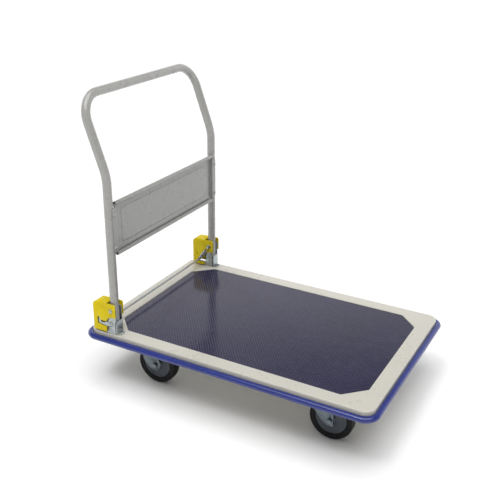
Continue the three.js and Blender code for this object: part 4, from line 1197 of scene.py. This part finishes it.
# ------------------------------------------------------------------ hinges and lock
def hinge(tag, s):
    d = DECK_TOP

    def yy(v):
        return s * (LEG_Y + v)

    def span(name, outline, v0, v1):
        a, b = sorted((yy(v0), yy(v1)))
        return prism(name, outline, a, b, "XZ")

    def bar(name, r, v0, v1, x, z, sides=32):
        a, b = sorted((yy(v0), yy(v1)))
        return cylinder(name, r, a, b, x, z, "Y", sides)

    ci, co = TUBE_R + 0.3, TUBE_R + 2.6
    cheek = rounded([(-375, d + 0.3), (-341, d + 0.3), (-341.5, d + 82, 9), (-354.6, d + 90, 12), (-368, d + 82, 9), (-366, d + 54, 20), (-371, d + 22, 20)], 8)
    parts = []
    for v0, v1 in ((-co, -ci), (ci, co)):
        c = span("c", cheek, v0, v1)
        boolean(c, bar("h", 4.3, v0 - 4, v1 + 4, LEG_X, PIVOT_Z))
        if v0 > 0:
            boolean(c, bar("h", 3.0, v0 - 4, v1 + 4, LEVER_X, LEVER_Z))
        parts.append(bevel(c, 0.45, 2, 40))
    a, b = sorted((yy(-co + 0.4), yy(co - 0.4)))
    base = prism("b", rounded([(-375, a, 1), (-341, a, 1), (-341, yy(-12) if s > 0 else yy(12)), (-330, yy(-12) if s > 0 else yy(12), 4),
                               (-330, yy(12) if s > 0 else yy(-12), 4), (-341, yy(12) if s > 0 else yy(-12)), (-341, b, 1), (-375, b, 1)], 5), d + 0.3, d + 3.3, "XY")
    parts.append(bevel(base, 0.5, 2, 40))
    cy, xi, xo = s * LEG_Y, LEG_X + ci, LEG_X + co
    wall = prism("w", rounded([(-345, cy - co), (xo, cy - co, 2.6), (xo, cy + co, 2.6), (-345, cy + co),
                               (-345, cy + ci), (xi, cy + ci, 0.5), (xi, cy - ci, 0.5), (-345, cy - ci)], 6), d + 0.3, d + 42, "XY")
    parts.append(bevel(wall, 0.45, 2, 40))
    place(finish_mesh(join("hinge_bracket_%s_pressed" % tag, *parts), 35), ZINC, "zinc_plate", "deck", "hinge_bracket_" + tag)
    # one round-headed bolt holds the bracket down
    heads = []
    for x in (-366.0,):
        heads.append(lathe("h", [(0, 4.2), (2.4, 4.0), (4.4, 3.2), (5.9, 1.9), (6.6, 0.6), (6.6, 0.0), (0, 0.0)], 32, "Z", (x, s * LEG_Y, d + 3.3)))
    place(finish_mesh(join("bracket_bolts_" + tag, *heads), 30), ZINC, "zinc_plate", "deck")

    # moulded cover
    o_, w = COVER_HALF, COVER_WALL
    z0 = d + 4.2
    side = rounded([(-418, z0, 0.8), (-339, z0, 0.8), (-339, d + 98, 6), (-418, d + 96, 13)], 10)
    hollow = rounded([(-416.2, z0 - 10), (-300, z0 - 10), (-300, d + 120), (-371, d + 120), (-371, d + 94.5), (-416.2, d + 94.2, 11.2)], 10)
    cut = rounded([(-330, z0 - 10), (-330, d + 56.5), (-336, d + 56.5), (-341, d + 55.5, 3), (-362, d + 53.5, 6), (-372.5, d + 41, 3), (-373, d + 10, 3), (-376, z0 - 10)], 8)
    cover = span("hinge_cover_%s_moulded" % tag, side, -o_, o_)
    boolean(cover, span("c", hollow, -o_ + w, o_ - w))
    boolean(cover, span("c", cut, -o_ - 5, o_ + 5))
    window = rounded([(-404.5, d + 25, 4), (-360, d + 19, 0), (-360, d + 38.5, 0), (-376, d + 38.5, 2), (-395, d + 38.5, 3), (-395, d + 47.5, 3.5), (-404.5, d + 47.5, 3.5)], 6)
    boolean(cover, span("c", window, o_ - w - 2, o_ + 5))
    notch = rounded([(-360, d + 13.2), (-360, d + 31.6), (-384, d + 31.6, 3), (-395.6, d + 31.6, 5), (-395.6, d + 13.2, 5)], 6)
    boolean(cover, span("c", notch, -o_ - 5, -o_ + w + 2))
    boolean(cover, bar("c", 2.4, -o_ - 5, -o_ + w + 2, -400.5, d + 42, 24))
    boolean(cover, bar("c", 4.5, -60, 60, LEG_X, PIVOT_Z, 32))
    place(finish_mesh(bevel(cover, 0.7, 3, 45), 38), YELLOW, "yellow_cover", "deck", "hinge_cover_" + tag)

    f = o_ + 0.3
    head = [(0, f + 4.2)] + [(6.3 * math.sin(math.radians(a)), f + 0.9 + 3.3 * math.cos(math.radians(a))) for a in (15, 30, 45, 60, 75, 90)] + [(6.4, f), (4, f)]
    bolt = lathe("hinge_pin_" + tag, head + [(4, -26.8), (3.4, -27.3), (3.4, -29.0), (4, -29.4), (4, -30.5), (3.5, -31), (0, -31)], 36, "Y", (LEG_X, s * LEG_Y, PIVOT_Z), s)
    place(finish_mesh(bolt, 35), ZINC, "zinc_plate", "deck", "pivot_bolt_" + tag)
    nut = lathe("hinge_pin_cap_" + tag, [(4.2, -o_ - 0.3), (7, -o_ - 0.3), (7, -o_ - 1.4), (6.5, -o_ - 2.3), (5.6, -o_ - 2.9), (4.2, -o_ - 2.9)], 36, "Y", (LEG_X, s * LEG_Y, PIVOT_Z), s)
    place(finish_mesh(nut, 35), STEEL, "bare_steel", "deck", "pivot_retainer_" + tag)

    lv0, lv1 = co + 0.3, co + 1.7
    lever = rounded([
        (LEVER_X + 7.5, LEVER_Z - 7, 6), (LEVER_X + 7.5, LEVER_Z + 7.5, 6), (-374, d + 36, 5), (-384, d + 31.5, 5), (-394.6, d + 31, 3), (-395.6, d + 44.5, 3),
        (-402.4, d + 44.5, 3), (-403, d + 26, 5), (-391, d + 19.5, 6), (-380, d + 20, 8)], 8)
    lev = span("l", lever, lv0, lv1)
    boolean(lev, bar("h", 3.1, 0, 40, LEVER_X, LEVER_Z))
    place(finish_mesh(bevel(lev, 0.35, 2, 40), 35), ZINC, "zinc_plate", "lock_bar", "lock_lever_" + tag)
    lev.name = "latch_lever_" + tag
    pin = lathe("latch_pin_" + tag, [(0, ci + 0.1), (2.8, ci + 0.1), (2.8, lv1 + 0.1), (2.3, lv1 + 0.2), (0, lv1 + 0.2)], 28, "Y", (LEVER_X, s * LEG_Y, LEVER_Z), s)
    place(finish_mesh(pin, 35), STEEL, "bare_steel", "deck", "lever_pin_" + tag)

    # tension spring from the release rod to the hinge pin, with an open hook at each end
    a = Vector((ROD_X, yy(-25.6), ROD_Z))
    b = Vector((LEG_X, yy(-25.6), PIVOT_Z))
    ax = (b - a).normalized()
    side_v = Vector((0, 1, 0))
    nv = ax.cross(side_v).normalized()
    length = (b - a).length
    wire, rc = 0.85, 4.9
    c0, c1 = 7.0 + wire, 9.5 + (length - 20.5) * 0.86
    turns = int((c1 - c0) / 1.9)
    path = []
    hook = 4.0 + wire + 0.15                       # inside of the hook rests on the rod
    for k in range(13):                            # hook round the rod
        t = math.radians(-215 + 215 * k / 12)
        path.append(a + ax * (-hook * math.cos(t + math.pi)) * -1 + nv * (hook * math.sin(t + math.pi)) * -1)
    path = [a + (ax * math.cos(math.radians(u)) + nv * math.sin(math.radians(u))) * hook for u in np.linspace(230, 20, 15)]
    path.append(a + ax * (c0 - 1.6) + nv * (rc * 0.55))
    steps = turns * 14
    for k in range(steps + 1):
        t = 2 * math.pi * k / 14
        path.append(a + ax * (c0 + (c1 - c0) * k / steps) + (nv * math.cos(t) + side_v * math.sin(t)) * rc)
    path.append(a + ax * (c1 + 1.6) + nv * (rc * 0.55))
    path += [b - (ax * math.cos(math.radians(u)) - nv * math.sin(math.radians(u))) * hook for u in np.linspace(20, 230, 15)]
    coil = sweep("tension_spring_" + tag, path, wire, 8)
    finish_mesh(coil, 50)
    coil.data.materials.append(SPRING)
    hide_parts("return_spring_" + tag)
    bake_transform(coil)


def release_rod():
    end = LEG_Y + TUBE_R + 2.6
    prof = [(0, -end), (3.2, -end), (ROD_R, -end + 0.8), (ROD_R, end - 0.8), (3.2, end), (0, end)]
    rod = lathe("release_bar", prof, 36, "Y", (ROD_X, 0, ROD_Z))
    place(finish_mesh(rod, 35), ROD, "bare_steel", "lock_bar", "release_rod")


deck_shell()
embossed_mat()
bumper()
members()
plate_bolts()
rigid_caster("front_right", -WHEEL_Y, -1)
rigid_caster("front_left", WHEEL_Y, 1)
swivel_caster("rear_right", -WHEEL_Y, -1)
swivel_caster("rear_left", WHEEL_Y, 1)
handle()
panel()
for tag, s in SIDES:
    hinge(tag, s)
release_rod()

for m in list(bpy.data.meshes):
    if m.users == 0:
        bpy.data.meshes.remove(m)
